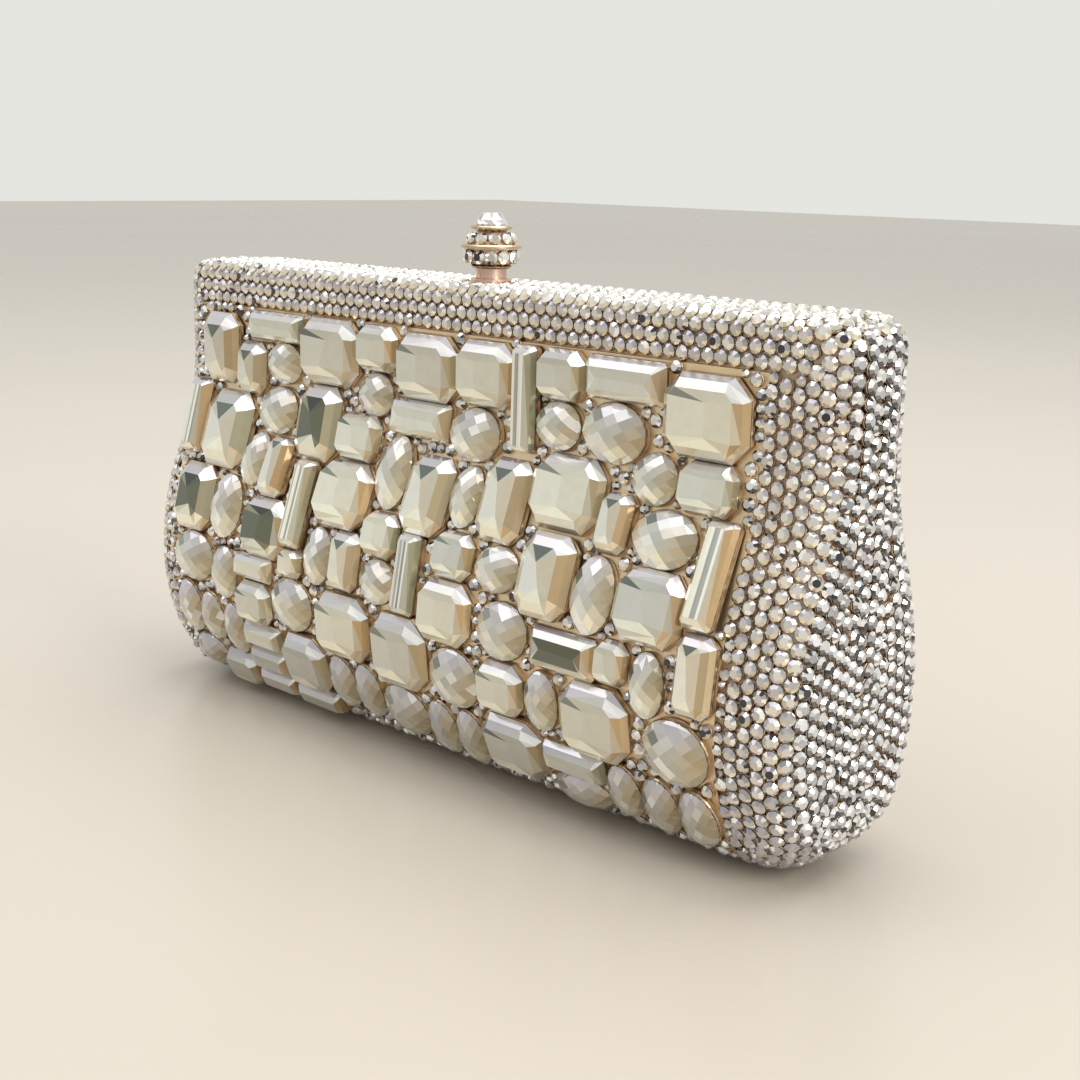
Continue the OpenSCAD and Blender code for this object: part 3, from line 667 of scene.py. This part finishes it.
CUTS = {"cushion_stones": "cushion", "emerald_stones": "emerald", "baguette_stones": "baguette",
        "round_stones": "round", "oval_stones": "oval"}
LEAST_GROWTH, MOST_GROWTH = 0.08, 0.75
STONES = [Stone(cut, points, out) for node, cut in CUTS.items() for points, out in islands(node)]
for stone, (beside, above) in [(stone, stone.room_beside(STONES)) for stone in STONES]:
    stone.w += 2 * beside
    stone.h += 2 * above
lay_small_stones()


def cut_corners(w, h, c):
    return [(w / 2, h / 2 - c), (w / 2 - c, h / 2), (c - w / 2, h / 2), (-w / 2, h / 2 - c),
            (-w / 2, c - h / 2), (c - w / 2, -h / 2), (w / 2 - c, -h / 2), (w / 2, c - h / 2)]


def painted_reflection_tone(dx, dy, warm):
    """The painted reflection colour of a sloping facet by the way it faces: cream below, lilac above, amber right.
    """
    a = math.atan2(dy, dx)
    up, across = math.sin(a), math.cos(a)
    weights = [(max(-up, 0) ** 2, CREAM), (max(up, 0) ** 2, LILAC),
               (max(-across, 0) ** 2, lerp(CREAM, GREY, 0.45)),
               (max(across, 0) ** 2, lerp(OLIVE, AMBER, warm))]
    total = sum(w for w, _ in weights)
    return tuple(sum(w * c[i] for w, c in weights) / total for i in range(3))


def bezel(heap, stone, outline):
    """The thin gilt wall that holds a stone."""
    n = len(outline)
    rings = [(0.0, -0.35), (0.16, 0.6), (0.06, 0.95), (-0.15, 0.8)]
    points = []
    for grow, z in rings:
        for x, y in outline:
            d = math.hypot(x, y)
            points.append(stone.at(x + grow * x / d, y + grow * y / d, z))
    faces = [(r * n + i, r * n + (i + 1) % n, (r + 1) * n + (i + 1) % n, (r + 1) * n + i)
             for r in range(len(rings) - 1) for i in range(n)]
    heap.put(points, faces, [1] * len(faces), [(1, 1, 1)] * len(faces))


def corner_painted_light(which, colour, ring):
    """The painted highlights and reflections on the two facets of a cut corner: upper right, upper left, lower
    left and lower right.
    """
    if which == 0:
        return (lerp(LILAC, SNOW, 0.9), lerp(LILAC, SNOW, chance.random())) if ring == 2 else (LILAC, SNOW)
    if which == 1:
        return (lerp(GREY, TEAL, chance.random() * 0.8), LILAC)
    if which == 2:
        return (SNOW, CREAM)
    return (lerp(AMBER, CREAM, chance.random()), colour)


DARK_STONES = ((-85.5, 74), (-54.5, 77.3), (-43, 49), (48, 86))     # across the front and along it


def step_stone(heap, stone):
    """A cushion, octagon or baguette: a flat table, a crown of sloping facets and cut corners."""
    w, h = stone.w, stone.h
    small = min(w, h)
    warm = chance.random()
    tone = lerp(lerp(TABLE, GREY, chance.random() * 0.7), CREAM, chance.random() ** 2 * 0.5)
    # painted shade: stones that face downward are darkened
    shade = 1 - 0.5 * max(-stone.out.z - 0.1, 0)
    if stone.cut == "cushion":
        c, inset, ct, top = small * 0.24, small * 0.16, small * 0.10, stone.tall + 0.3
    elif stone.cut == "emerald":
        c, inset, ct, top = w * 0.2, w * 0.21, w * 0.09, stone.tall + 0.1
    else:
        c, inset, ct, top = 0.75, small * 0.24, 0.3, stone.tall - 0.1
    girdle = cut_corners(w, h, c)
    mid = cut_corners(w - inset * 0.7, h - inset * 0.7, c * 0.9)
    table = cut_corners(w - 2 * inset, h - 2 * inset, ct)
    points = ([stone.at(x, y, 0.7) for x, y in girdle] + [stone.at(x, y, 1.15) for x, y in girdle]
              + [stone.at(x, y, 1.15 + (top - 1.15) * 0.55) for x, y in mid]
              + [stone.at(x, y, top) for x, y in table])
    faces, finishes, tints_and_painted_light = [], [], []

    def facet(corners, colour, low=0.92, high=1.06):
        faces.append(tuple(corners))
        finishes.append(0)
        tints_and_painted_light.append(dimmed(colour, shade * chance.uniform(low, high)))

    # crown facets get painted reflections by the way they face, the girdle band is darker, and cut corners get
    # painted highlights and painted dark reflections
    for ring in range(3):
        for i in range(8):
            k = (i + 1) % 8
            a, b = ring * 8, (ring + 1) * 8
            dx = (girdle[i][0] + girdle[k][0]) / w
            dy = (girdle[i][1] + girdle[k][1]) / h
            colour = painted_reflection_tone(dx, dy, warm)
            corner = i % 2 == 0
            if ring == 0:
                facet((a + i, a + k, b + k, b + i), dimmed(colour, 0.75))
            elif corner:
                first_half, second_half = corner_painted_light(i // 2, colour, ring)
                facet((a + i, a + k, b + k), first_half, 0.85, 1.1)
                facet((a + i, b + k, b + i), second_half, 0.85, 1.1)
            elif ring == 1 or stone.cut == "emerald":
                facet((a + i, a + k, b + k, b + i), colour, 0.86, 1.08)
            else:
                facet((a + i, a + k, b + k), colour, 0.9, 1.1)
                facet((a + i, b + k, b + i), lerp(colour, tone, 0.5), 0.85, 1.05)
    # the table shows the facets of the stone's back, as a keel with slopes to its corners, coloured with painted
    # reflections and painted highlights
    first = len(points)
    tw, th = w - 2 * inset, h - 2 * inset
    tall = th >= tw
    spread = 0.12 * tw if stone.cut == "emerald" else 0.05 * tw
    if stone.cut == "cushion":
        keel = [(chance.uniform(-0.1, 0.1) * tw, 0.30 * th), (chance.uniform(-0.1, 0.1) * tw, -0.30 * th)]
    elif tall:
        keel = [(-spread, th / 2 - 0.42 * tw), (spread, -th / 2 + 0.35 * tw)]
    else:
        keel = [(-tw / 2 + 0.42 * th, 0.02 * th), (tw / 2 - 0.42 * th, -0.02 * th)]
    lift = 0.05 if stone.cut == "cushion" else 0.02
    points += [stone.at(x, y, top + lift) for x, y in keel]
    a, b, t = first, first + 1, 24
    contrast = {"cushion": 0.08, "emerald": 0.36, "baguette": 0.40 if tall else 0.14}[stone.cut]
    deep = lerp(tone, TEAL, 0.9) if stone.cut == "emerald" else dimmed(tone, 0.9)
    notch = dimmed(tone, 0.95)
    if stone.cut == "cushion":
        notch = lerp(tone, TEAL, chance.choice((0.1, 0.75, 0.9)))
    if any(math.hypot(stone.x - x, stone.run - run) < 3 for x, run in DARK_STONES):
        tone, deep, notch, contrast = (0.09, 0.10, 0.06), SMOKE, (0.30, 0.30, 0.20), 0.04
    if stone.cut == "baguette" and tall:
        first = len(points)
        count = 5
        points += [stone.at((i / count - 0.5) * (tw - 2 * ct), s * th / 2, top + 0.12 * (i % 2))
                   for s in (1, -1) for i in range(1, count)]
        tops = [t + 2] + [first + i for i in range(count - 1)] + [t + 1]
        feet = [t + 5] + [first + count - 1 + i for i in range(count - 1)] + [t + 6]
        # painted highlight, grey, cream and dark bands across a tall baguette's table
        bands = [lerp(tone, SNOW, 0.8), dimmed(GREY, 0.8), lerp(tone, CREAM, 0.8), lerp(tone, TEAL, 0.55),
                 lerp(tone, SNOW, 0.5)]
        chance.shuffle(bands)
        fans = [((t + 3, t + 2, t + 5, t + 4), lerp(tone, CREAM, 0.6)),
                ((t + 1, t + 0, t + 7, t + 6), lerp(tone, OLIVE, 0.5))]
        fans += [((tops[i], tops[i + 1], feet[i + 1], feet[i]), bands[i]) for i in range(count)]
    elif tall or stone.cut == "cushion":
        fans = [((t + 0, t + 7, b, a), lerp(tone, AMBER, contrast * 0.9)),
                ((t + 1, t + 0, a), dimmed(tone, 0.9)), ((t + 2, t + 1, a), deep),
                ((t + 3, t + 2, a), notch), ((t + 4, t + 3, a, b), lerp(tone, SNOW, contrast)),
                ((t + 5, t + 4, b), lerp(tone, CREAM, 0.6)), ((t + 6, t + 5, b), lerp(tone, CREAM, 0.8)),
                ((t + 7, t + 6, b), lerp(tone, AMBER, 0.3))]
    else:
        fans = [((t + 1, t + 0, b), dimmed(tone, 0.95)), ((t + 0, t + 7, b), lerp(tone, AMBER, 0.3)),
                ((t + 7, t + 6, b), lerp(tone, CREAM, 0.4)),
                ((t + 6, t + 5, a, b), lerp(tone, SNOW, contrast)),
                ((t + 5, t + 4, a), lerp(tone, CREAM, 0.7)), ((t + 4, t + 3, a), lerp(tone, SNOW, 0.4)),
                ((t + 3, t + 2, a), dimmed(tone, 0.92)), ((t + 2, t + 1, b, a), dimmed(tone, 0.97))]
    for corners, colour in fans:
        facet(reversed(corners), colour, 0.97, 1.03)
    heap.put(points, faces, finishes, tints_and_painted_light)
    bezel(heap, stone, cut_corners(stone.w, stone.h, c + 0.1))


def checker_template():
    """A unit disc cut into squares on the slant, as points and faces."""
    mesh = bmesh.new()
    rim = [mesh.verts.new((math.cos(math.tau * i / 28), math.sin(math.tau * i / 28), 0)) for i in range(28)]
    mesh.faces.new(rim)
    step = 0.46
    for sign in (1, -1):
        for k in range(-2, 4):
            bmesh.ops.bisect_plane(mesh, geom=mesh.verts[:] + mesh.edges[:] + mesh.faces[:],
                                   plane_co=((k - 0.5) * step, 0, 0),
                                   plane_no=(math.sqrt(0.5), sign * math.sqrt(0.5), 0))
    mesh.verts.ensure_lookup_table()
    mesh.verts.index_update()
    points = [(v.co.x, v.co.y) for v in mesh.verts]
    faces = [tuple(v.index for v in f.verts) for f in mesh.faces]
    mesh.free()
    return points, faces


CHECKER = checker_template()


def domed_stone(heap, stone):
    """A round or oval with a low dome of slanted squares, coloured with painted reflections towards the rim, a
    painted dark reflection at the upper left and painted highlights on the lower left and here and there.
    """
    w, h = stone.w, stone.h
    top = stone.tall + 0.35
    spots, cells = CHECKER
    base = lerp(TABLE, GREY, chance.random() * 0.7)
    turn = chance.uniform(-0.2, 0.2)
    # painted shade: stones that face downward are darkened
    shade = 1 - 0.5 * max(-stone.out.z - 0.1, 0)
    points, faces, tints_and_painted_light = [], [], []
    for x, y in spots:
        r2 = min(x * x + y * y, 1.0)
        u, v = x * math.cos(turn) - y * math.sin(turn), x * math.sin(turn) + y * math.cos(turn)
        points.append(stone.at(u * w / 2, v * h / 2, 1.15 + (top - 1.15) * (1 - r2) ** 0.62))
    for cell in cells:
        faces.append(cell)
        cx = sum(spots[i][0] for i in cell) / len(cell)
        cy = sum(spots[i][1] for i in cell) / len(cell)
        r = math.hypot(cx, cy)
        colour = lerp(base, painted_reflection_tone(cx, cy, 0.4), min(r * 1.25, 1.0))
        # a painted dark reflection at the upper left, a painted highlight on the lower left, and now and then a
        # painted highlight elsewhere
        if math.hypot(cx + 0.38, cy - 0.42) < 0.24:
            colour = lerp(TEAL, colour, chance.uniform(0.05, 0.5))
        elif cx < 0.1 and cy < -0.2:
            colour = lerp(colour, SNOW, 0.6)
        elif chance.random() < 0.05:
            colour = lerp(colour, SNOW, 0.7)
        tints_and_painted_light.append(dimmed(colour, shade * chance.uniform(0.8, 1.1)))
    rim = [(math.cos(math.tau * i / 28), math.sin(math.tau * i / 28)) for i in range(28)]
    first = len(points)
    for z in (0.7, 1.16):
        points += [stone.at(x * w / 2, y * h / 2, z) for x, y in rim]
    for i in range(28):
        k = (i + 1) % 28
        faces.append((first + i, first + k, first + 28 + k, first + 28 + i))
        tints_and_painted_light.append(dimmed(painted_reflection_tone(*rim[i], 0.5), 0.8))
    heap.put(points, faces, [0] * len(faces), tints_and_painted_light)
    bezel(heap, stone, [(x * stone.w / 2, y * stone.h / 2) for x, y in rim])


for node, cut in CUTS.items():
    pile = Heap()
    for stone in STONES:
        if stone.cut == cut:
            (domed_stone if cut in ("round", "oval") else step_stone)(pile, stone)
    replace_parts(pile.make("set_" + node, [CRYSTAL, ROSE_GILT], "front_half", "champagne_crystal"), node)


# ---------------------------------------------------------------- small stones between the large ones

def lay_fillers():
    grid = 0.45
    xs = np.arange(PANEL_LEFT + 0.9, PANEL_RIGHT - 0.6, grid)
    runs = np.arange(RUN_STRAIGHT + 8.8, RUN_UNDER + 4.6, grid)
    X, R = np.meshgrid(xs, runs)
    room = np.minimum(np.minimum(X - PANEL_LEFT, PANEL_RIGHT - X),
                      np.minimum(R - runs[0] + 0.9, runs[-1] - R + 0.9))
    for stone in STONES:
        dx, dy = np.abs(X - stone.x), np.abs(R - stone.run)
        if stone.cut in ("round", "oval"):
            a, b = stone.w / 2, stone.h / 2
            far = np.sqrt((dx / a) ** 2 + (dy / b) ** 2)
            d = (far - 1) * np.hypot(dx, dy) / np.maximum(far, 1e-6)
        else:
            c = 0.8 if stone.cut == "baguette" else 0.2 * min(stone.w, stone.h)
            d = np.maximum(np.maximum(dx - stone.w / 2, dy - stone.h / 2),
                           (dx + dy - (stone.w + stone.h) / 2 + c) / math.sqrt(2))
        room = np.minimum(room, d)
    heap, count = Heap(), 0
    while count < 420:
        at = np.unravel_index(np.argmax(room), room.shape)
        radius = min(room[at] - 0.06, 1.5)
        if radius < 0.9:
            break
        x, run = X[at], R[at]
        q, z = profile(run, 0.7)
        n = facing(-20.0, run)
        n = Vector((0, -n.y, n.z))
        high = 0.7 + 0.5 * radius
        # each filler takes the front's or the end's painted light at random
        chaton(heap, Vector((x, -q, z)) + n * high, n, radius, high + 0.05,
               chance.choice(("front", "end")), 0.08)
        room = np.minimum(room, np.hypot(X - x, R - run) - radius)
        count += 1
    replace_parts(heap.make("set_filler_crystals", [CLEAR_CRYSTAL, ROSE_GILT], "front_half", "clear_crystal"),
                "filler_crystals")


lay_fillers()


# ---------------------------------------------------------------- knob

def ring_of_stones(node, name, radius, tilt):
    low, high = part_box(node)
    count = {"knob_lower_crystals": 12, "knob_upper_crystals": 10}[node]
    z = (low.z + high.z) / 2 / MM
    reach = (high.x - low.x) / 2 / MM - 0.25
    heap = Heap()
    for i in range(count):
        a = math.tau * (i + (0.5 if node == "knob_lower_crystals" else 0)) / count
        n = Vector((math.cos(a) * math.cos(tilt), math.sin(a) * math.cos(tilt), math.sin(tilt)))
        chaton(heap, Vector((math.cos(a) * reach, math.sin(a) * reach, z)), n, radius, 1.5, "knob", 0.08)
    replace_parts(heap.make(name, [CLEAR_CRYSTAL, COPPER], "knob", "clear_crystal"), node)


ring_of_stones("knob_lower_crystals", "knob_lower_stones", 1.62, 0.0)
ring_of_stones("knob_upper_crystals", "knob_upper_stones", 1.46, 0.42)


def crown_stone():
    low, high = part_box("knob_crown_stone")
    base, top = low.z / MM, high.z / MM
    r = (high.x - low.x) / 2 / MM
    n = 16
    rings = [(r, base), (r, base + 0.45), (r * 0.90, base + 1.3), (r * 0.60, top)]
    points = []
    for k, (rr, z) in enumerate(rings):
        for i in range(n):
            a = math.tau * (i + 0.5 * (k % 2)) / n
            points.append(Vector((rr * math.cos(a), rr * math.sin(a), z)))
    faces, tints_and_painted_light = [], []
    for k in range(3):
        for i in range(n):
            j = (i + 1) % n
            a, b = k * n, (k + 1) * n
            if k % 2:
                pair = ((a + i, b + i, b + (i - 1) % n), (a + i, a + j, b + i))
            else:
                pair = ((a + i, a + j, b + i), (a + j, b + j, b + i))
            for t in pair:
                faces.append(t)
                # facets painted at random between a highlight white and a lilac reflection; the table is painted
                # white
                tints_and_painted_light.append(dimmed(lerp(SNOW, LILAC, chance.random()), chance.uniform(0.6, 1.05)))
    faces.append(tuple(3 * n + i for i in range(n)))
    tints_and_painted_light.append(SNOW)
    made = piece("knob_crown_cut", points, faces, [CLEAR_CRYSTAL], "knob", None, tints_and_painted_light)
    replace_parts(made, "knob_crown_stone")


crown_stone()


# ---------------------------------------------------------------- lining, piping and pocket

def lining(rear):
    """A padded satin lining, shaped over the inside of one half, with soft puckers."""
    flip = 1 if rear else -1
    depth, mouth, opening = 4.1, 3.3, 5.4      # under the crystals' tips; from the seam; round the knob
    runs = [3.6 + 2.15 * i for i in range(62)]
    rings = []
    for run in runs:
        if run > RUN_BASE - 0.2:
            break
        q, z = profile(run, depth)
        h = half_length(z, depth)
        r = max(min(UPRIGHT_R - depth, q - mouth - 0.3), 0.3)
        ring = [(h, mouth + (q - r - mouth) * t) for t in (0, 0.33, 0.67)]
        ring += [(h - r + r * math.cos(a), q - r + r * math.sin(a))
                 for a in np.radians((0, 22.5, 45, 67.5, 90))]
        inner = [(x, q) for x in np.linspace(h - r, r - h, 84)[1:-1]]
        ring = ring + inner + [(-x, y) for x, y in reversed(ring)]
        loop = []
        for x, y in ring:
            soft = noise.noise(Vector((x * 0.045, z * 0.03, 3.0 * flip))) * 0.35
            pucker = math.sin(x * 0.62 + 5 * noise.noise(Vector((x * 0.04, z * 0.02, 9.0)))) * 0.32
            pucker *= math.exp(-((z - BODY_H + 8) / 20.0) ** 2) + math.exp(-((z - 8) / 14.0) ** 2) + 0.12
            inward = soft + pucker
            y2 = y - inward if abs(x) < h - 3 else y
            loop.append((x, y2, z))
        rings.append(loop)
    n = len(rings[0])
    points = [Vector((x, y * flip, z)) for ring in rings for x, y, z in ring]
    window = 9.6 if rear else 4.6
    faces = []
    for j in range(len(rings) - 1):
        for i in range(n - 1):
            corners = (j * n + i, j * n + i + 1, (j + 1) * n + i + 1, (j + 1) * n + i)
            mid = sum((points[c] for c in corners), Vector()) / 4
            if abs(mid.x) < window and WAIST_Z - 2.5 < mid.z < WAIST_Z + 12:
                continue
            if mid.z > BODY_H - 12 and math.hypot(mid.x, mid.y) < opening:
                continue
            if mid.z < 6 and abs(mid.y) < opening:
                continue
            faces.append(corners if rear else tuple(reversed(corners)))
    made = piece(("rear" if rear else "front") + "_satin_lining", points, faces, [SATIN],
                 "rear_half" if rear else "front_half", smooth=True)
    pad = made.modifiers.new("padding", "SOLIDIFY")
    pad.thickness, pad.offset = 0.9 * MM, 0.0
    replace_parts(made, "rear_lining" if rear else "front_lining")


def tube(path, radius, sides=10, closed=False, upright=Vector((0, 1, 0))):
    """Points and faces of a tube along a path that never runs along upright."""
    points, faces = [], []
    n = len(path)
    for i, p in enumerate(path):
        ahead = path[(i + 1) % n] if closed or i < n - 1 else p
        behind = path[i - 1] if closed or i > 0 else p
        way = (ahead - behind).normalized()
        side = way.cross(upright)
        side = side.normalized() if side.length > 1e-6 else Vector((1, 0, 0))
        other = way.cross(side)
        points += [p + (side * math.cos(a) + other * math.sin(a)) * radius
                   for a in (math.tau * k / sides for k in range(sides))]
    for i in range(n if closed else n - 1):
        for k in range(sides):
            a, b = i * sides, ((i + 1) % n) * sides
            faces.append((a + k, a + (k + 1) % sides, b + (k + 1) % sides, b + k))
    if not closed:
        faces += [tuple(range(sides))[::-1], tuple((n - 1) * sides + k for k in range(sides))]
    return points, faces


def piping(rear):
    """A satin cord sewn round the lining's mouth, open at the latch."""
    flip, depth = (1 if rear else -1), 5.0
    start = 4.1 * flip
    hw, rt, rb = BODY_W / 2 - depth, max(TOP_CORNER_R - depth, 1.5), BASE_CORNER_R - depth
    top, foot = BODY_H - depth, depth + 0.2
    path = [Vector((x, start, top)) for x in np.linspace(6.2, hw - rt, 30)]
    path += [Vector((hw - rt + rt * math.sin(a), start, top - rt + rt * math.cos(a)))
             for a in np.radians(np.arange(15, 91, 15))]
    path += [Vector((hw, start, z)) for z in np.linspace(top - rt - 3, BASE_CORNER_R + 2, 24)]
    path += [Vector((hw - rb + rb * math.cos(a), start, BASE_CORNER_R + 0.2 - rb * math.sin(a)))
             for a in np.radians(np.arange(10, 91, 10))]
    path = path + [Vector((x, start, foot)) for x in np.linspace(hw - rb - 3, 0, 26)]
    path = path[:-1] + [Vector((-p.x, p.y, p.z)) for p in reversed(path)]
    points, faces = tube(path, 0.6)
    return piece(("rear" if rear else "front") + "_piping", points, faces, [PIPING],
                 "rear_half" if rear else "front_half", smooth=True)


def stitches(path, length, gap, radius):
    """Short threads laid end to end along a path."""
    verts, faces, due = [], [], gap
    walked = 0.0
    for here, ahead in zip(path, path[1:]):
        way = ahead - here
        while due < walked + way.length:
            start = here + way * ((due - walked) / way.length)
            end = start + way.normalized() * length
            middle = (start + end) / 2 + Vector((0, -radius * 0.6, 0))
            points, sides = tube([start, middle, end], radius, 6)
            faces += [tuple(len(verts) + i for i in f) for f in sides]
            verts += points
            due += length + gap
        walked += way.length
    return verts, faces


def pocket():
    """A slip pocket of satin on the rear lining, with a turned top edge and a sewn border."""
    low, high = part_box("inner_pocket")
    half = (high.x - low.x) / 2 / MM
    z0, z1 = low.z / MM, high.z / MM
    y_top, y_foot = low.y / MM - SEAM + 0.2, high.y / MM - SEAM - 0.5
    lines, cols = 22, 62
    points = []
    for j in range(lines + 1):
        v = j / lines
        for i in range(cols + 1):
            u = -1 + 2 * i / cols
            z = z0 + (z1 - z0) * v - 1.2 * (1 - u * u) * v
            y = y_foot + (y_top - y_foot) * v + 0.35
            edge = (1 - u ** 6) * min(v * 5, 1)
            y -= edge * (0.5 + 1.3 * v ** 2 * (1 - u * u) + 0.35 * noise.noise(Vector((u * 4, v * 2, 5.0)))
                         + 0.22 * v * math.sin(u * 17 + 3 * v))
            points.append(Vector((u * half, y, z)))
    n = cols + 1
    faces = [(j * n + i, j * n + i + 1, (j + 1) * n + i + 1, (j + 1) * n + i)
             for j in range(lines) for i in range(cols)]
    made = piece("satin_pocket", points, faces, [SATIN], "rear_half", smooth=True)
    pad = made.modifiers.new("cloth", "SOLIDIFY")
    pad.thickness, pad.offset = 0.7 * MM, 0.0
    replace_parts(made, "inner_pocket")
    hem, hem_faces = tube([points[lines * n + i] for i in range(cols + 1)], 0.62)
    piece("pocket_hem", hem, hem_faces, [PIPING], "rear_half", smooth=True)
    inset = [points[j * n + 2] for j in range(lines - 1, 0, -1)] + [points[n + i] for i in range(2, cols - 1)]
    inset += [points[j * n + cols - 2] for j in range(1, lines)]
    verts, stitch_faces = stitches([p + Vector((0, -0.38, 0)) for p in inset], 1.5, 1.0, 0.17)
    piece("pocket_stitches", verts, stitch_faces, [THREAD], "rear_half", smooth=True)


for is_rear in (True, False):
    lining(is_rear)
    piping(is_rear)
pocket()


def coil_spring():
    """The knob's return spring, a coil of wire."""
    low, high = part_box("return_spring")
    wire, turns, steps = 0.35, 5, 28
    reach = (high.x - low.x) / 2 / MM - wire
    base, top = low.z / MM + wire, high.z / MM - wire
    path = [Vector((reach * math.cos(math.tau * i / steps), reach * math.sin(math.tau * i / steps),
                    base + (top - base) * i / (turns * steps))) for i in range(turns * steps + 1)]
    points, faces = tube(path, wire, upright=Vector((0, 0, 1)))
    made = piece("return_coil", points, faces, [WIRE], "rear_half", smooth=True)
    travel = next(j for j in frame["joints"] if j["name"] == "knob_press")["range_m"][1]
    1 - travel / (high.z - low.z)
    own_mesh(made)
    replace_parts(made, "return_spring")


coil_spring()


# ---------------------------------------------------------------- finishes of the CAD pieces

KEPT = {
    "rear_shell": PRESSED, "front_shell": PRESSED, "rear_rim": HARDWARE, "front_rim": HARDWARE,
    "rear_hinge_leaf": HINGE, "front_hinge_leaf": HINGE, "rear_leaf_rivets": HARDWARE,
    "front_leaf_rivets": HARDWARE, "hinge_pin": WIRE, "knob_collar": COPPER, "latch_guide": HARDWARE,
    "guide_screws": WIRE, "chain_eyes": RING_GILT, "stone_bed": BED_GILT, "catch_hook": HARDWARE,
    "hook_rivets": WIRE, "knob_stem": COPPER, "knob_core": COPPER,
    "knob_foot_ring": RING_GILT, "knob_wide_ring": RING_GILT, "knob_top_ring": RING_GILT,
    "latch_foot": HARDWARE}
for node, finish in KEPT.items():
    data = NODES[node].data
    data.materials.clear()
    data.materials.append(finish)


# ---------------------------------------------------------------- floor, light and camera

def floor():
    f = Finish("pale floor")
    cloud = f.grain(3.0, 4.0)
    finish = f.surface(Base_Color=f.between(cloud, (0.50, 0.45, 0.39), (0.57, 0.52, 0.46)),
                       Roughness=cloud * 0.1 + 0.22)
    mesh = bpy.data.meshes.new("floor")
    mesh.from_pydata([(-4, -4, 0), (4, -4, 0), (4, 4, 0), (-4, 4, 0)], [], [(0, 1, 2, 3)])
    mesh.materials.append(finish)
    made = bpy.data.objects.new("floor", mesh)
    bpy.context.scene.collection.objects.link(made)
    made.location.z = -0.0003


def softbox(name, place, aim, size, power, colour):
    lamp = bpy.data.lights.new(name, "AREA")
    lamp.shape, lamp.size, lamp.size_y = "RECTANGLE", *size
    lamp.energy, lamp.color = power, colour
    made = bpy.data.objects.new(name, lamp)
    made.location = place
    made.rotation_euler = (Vector(aim) - Vector(place)).to_track_quat("-Z", "Y").to_euler()
    bpy.context.scene.collection.objects.link(made)


def camera():
    data = bpy.data.cameras.new("camera")
    data.lens, data.sensor_width = 52.71, 36
    data.clip_start, data.clip_end = 0.01, 20
    made = bpy.data.objects.new("camera", data)
    bpy.context.scene.collection.objects.link(made)
    place = Vector((0.2587, -0.2570, 0.1384)) + Vector((0, SEAM * MM, 0))
    aim = Vector((0.01706, 0, 0.05416)) + Vector((0, SEAM * MM, 0))
    ahead = (aim - place).normalized()
    right = ahead.cross(Vector((0, 0, 1))).normalized()
    up = right.cross(ahead)
    roll = math.radians(1.22)
    side = right * math.cos(roll) + up * math.sin(roll)
    head = side.cross(ahead)
    turn = Matrix((side, head, -ahead)).transposed().to_4x4()
    made.matrix_world = Matrix.Translation(place) @ turn
    bpy.context.scene.camera = made


floor()
camera()
softbox("top_softbox", (0.05, 0.30, 1.0), (0, 0, 0.05), (1.1, 0.8), 7, (1.0, 0.98, 0.95))
softbox("front_left_softbox", (-0.45, -0.55, 1.15), (0, 0, 0.06), (1.1, 1.1), 5, (1.0, 0.99, 1.0))
softbox("right_softbox", (1.05, -0.05, 0.55), (0.05, 0, 0.06), (0.5, 0.7), 6, (1.0, 0.97, 0.93))

world = bpy.data.worlds.new("studio")
world.use_nodes = True
backdrop = world.node_tree.nodes["Background"]
backdrop.inputs[0].default_value = (0.83, 0.83, 0.79, 1)
backdrop.inputs[1].default_value = 0.95
bpy.context.scene.world = world
bpy.context.scene.view_settings.view_transform = "Standard"
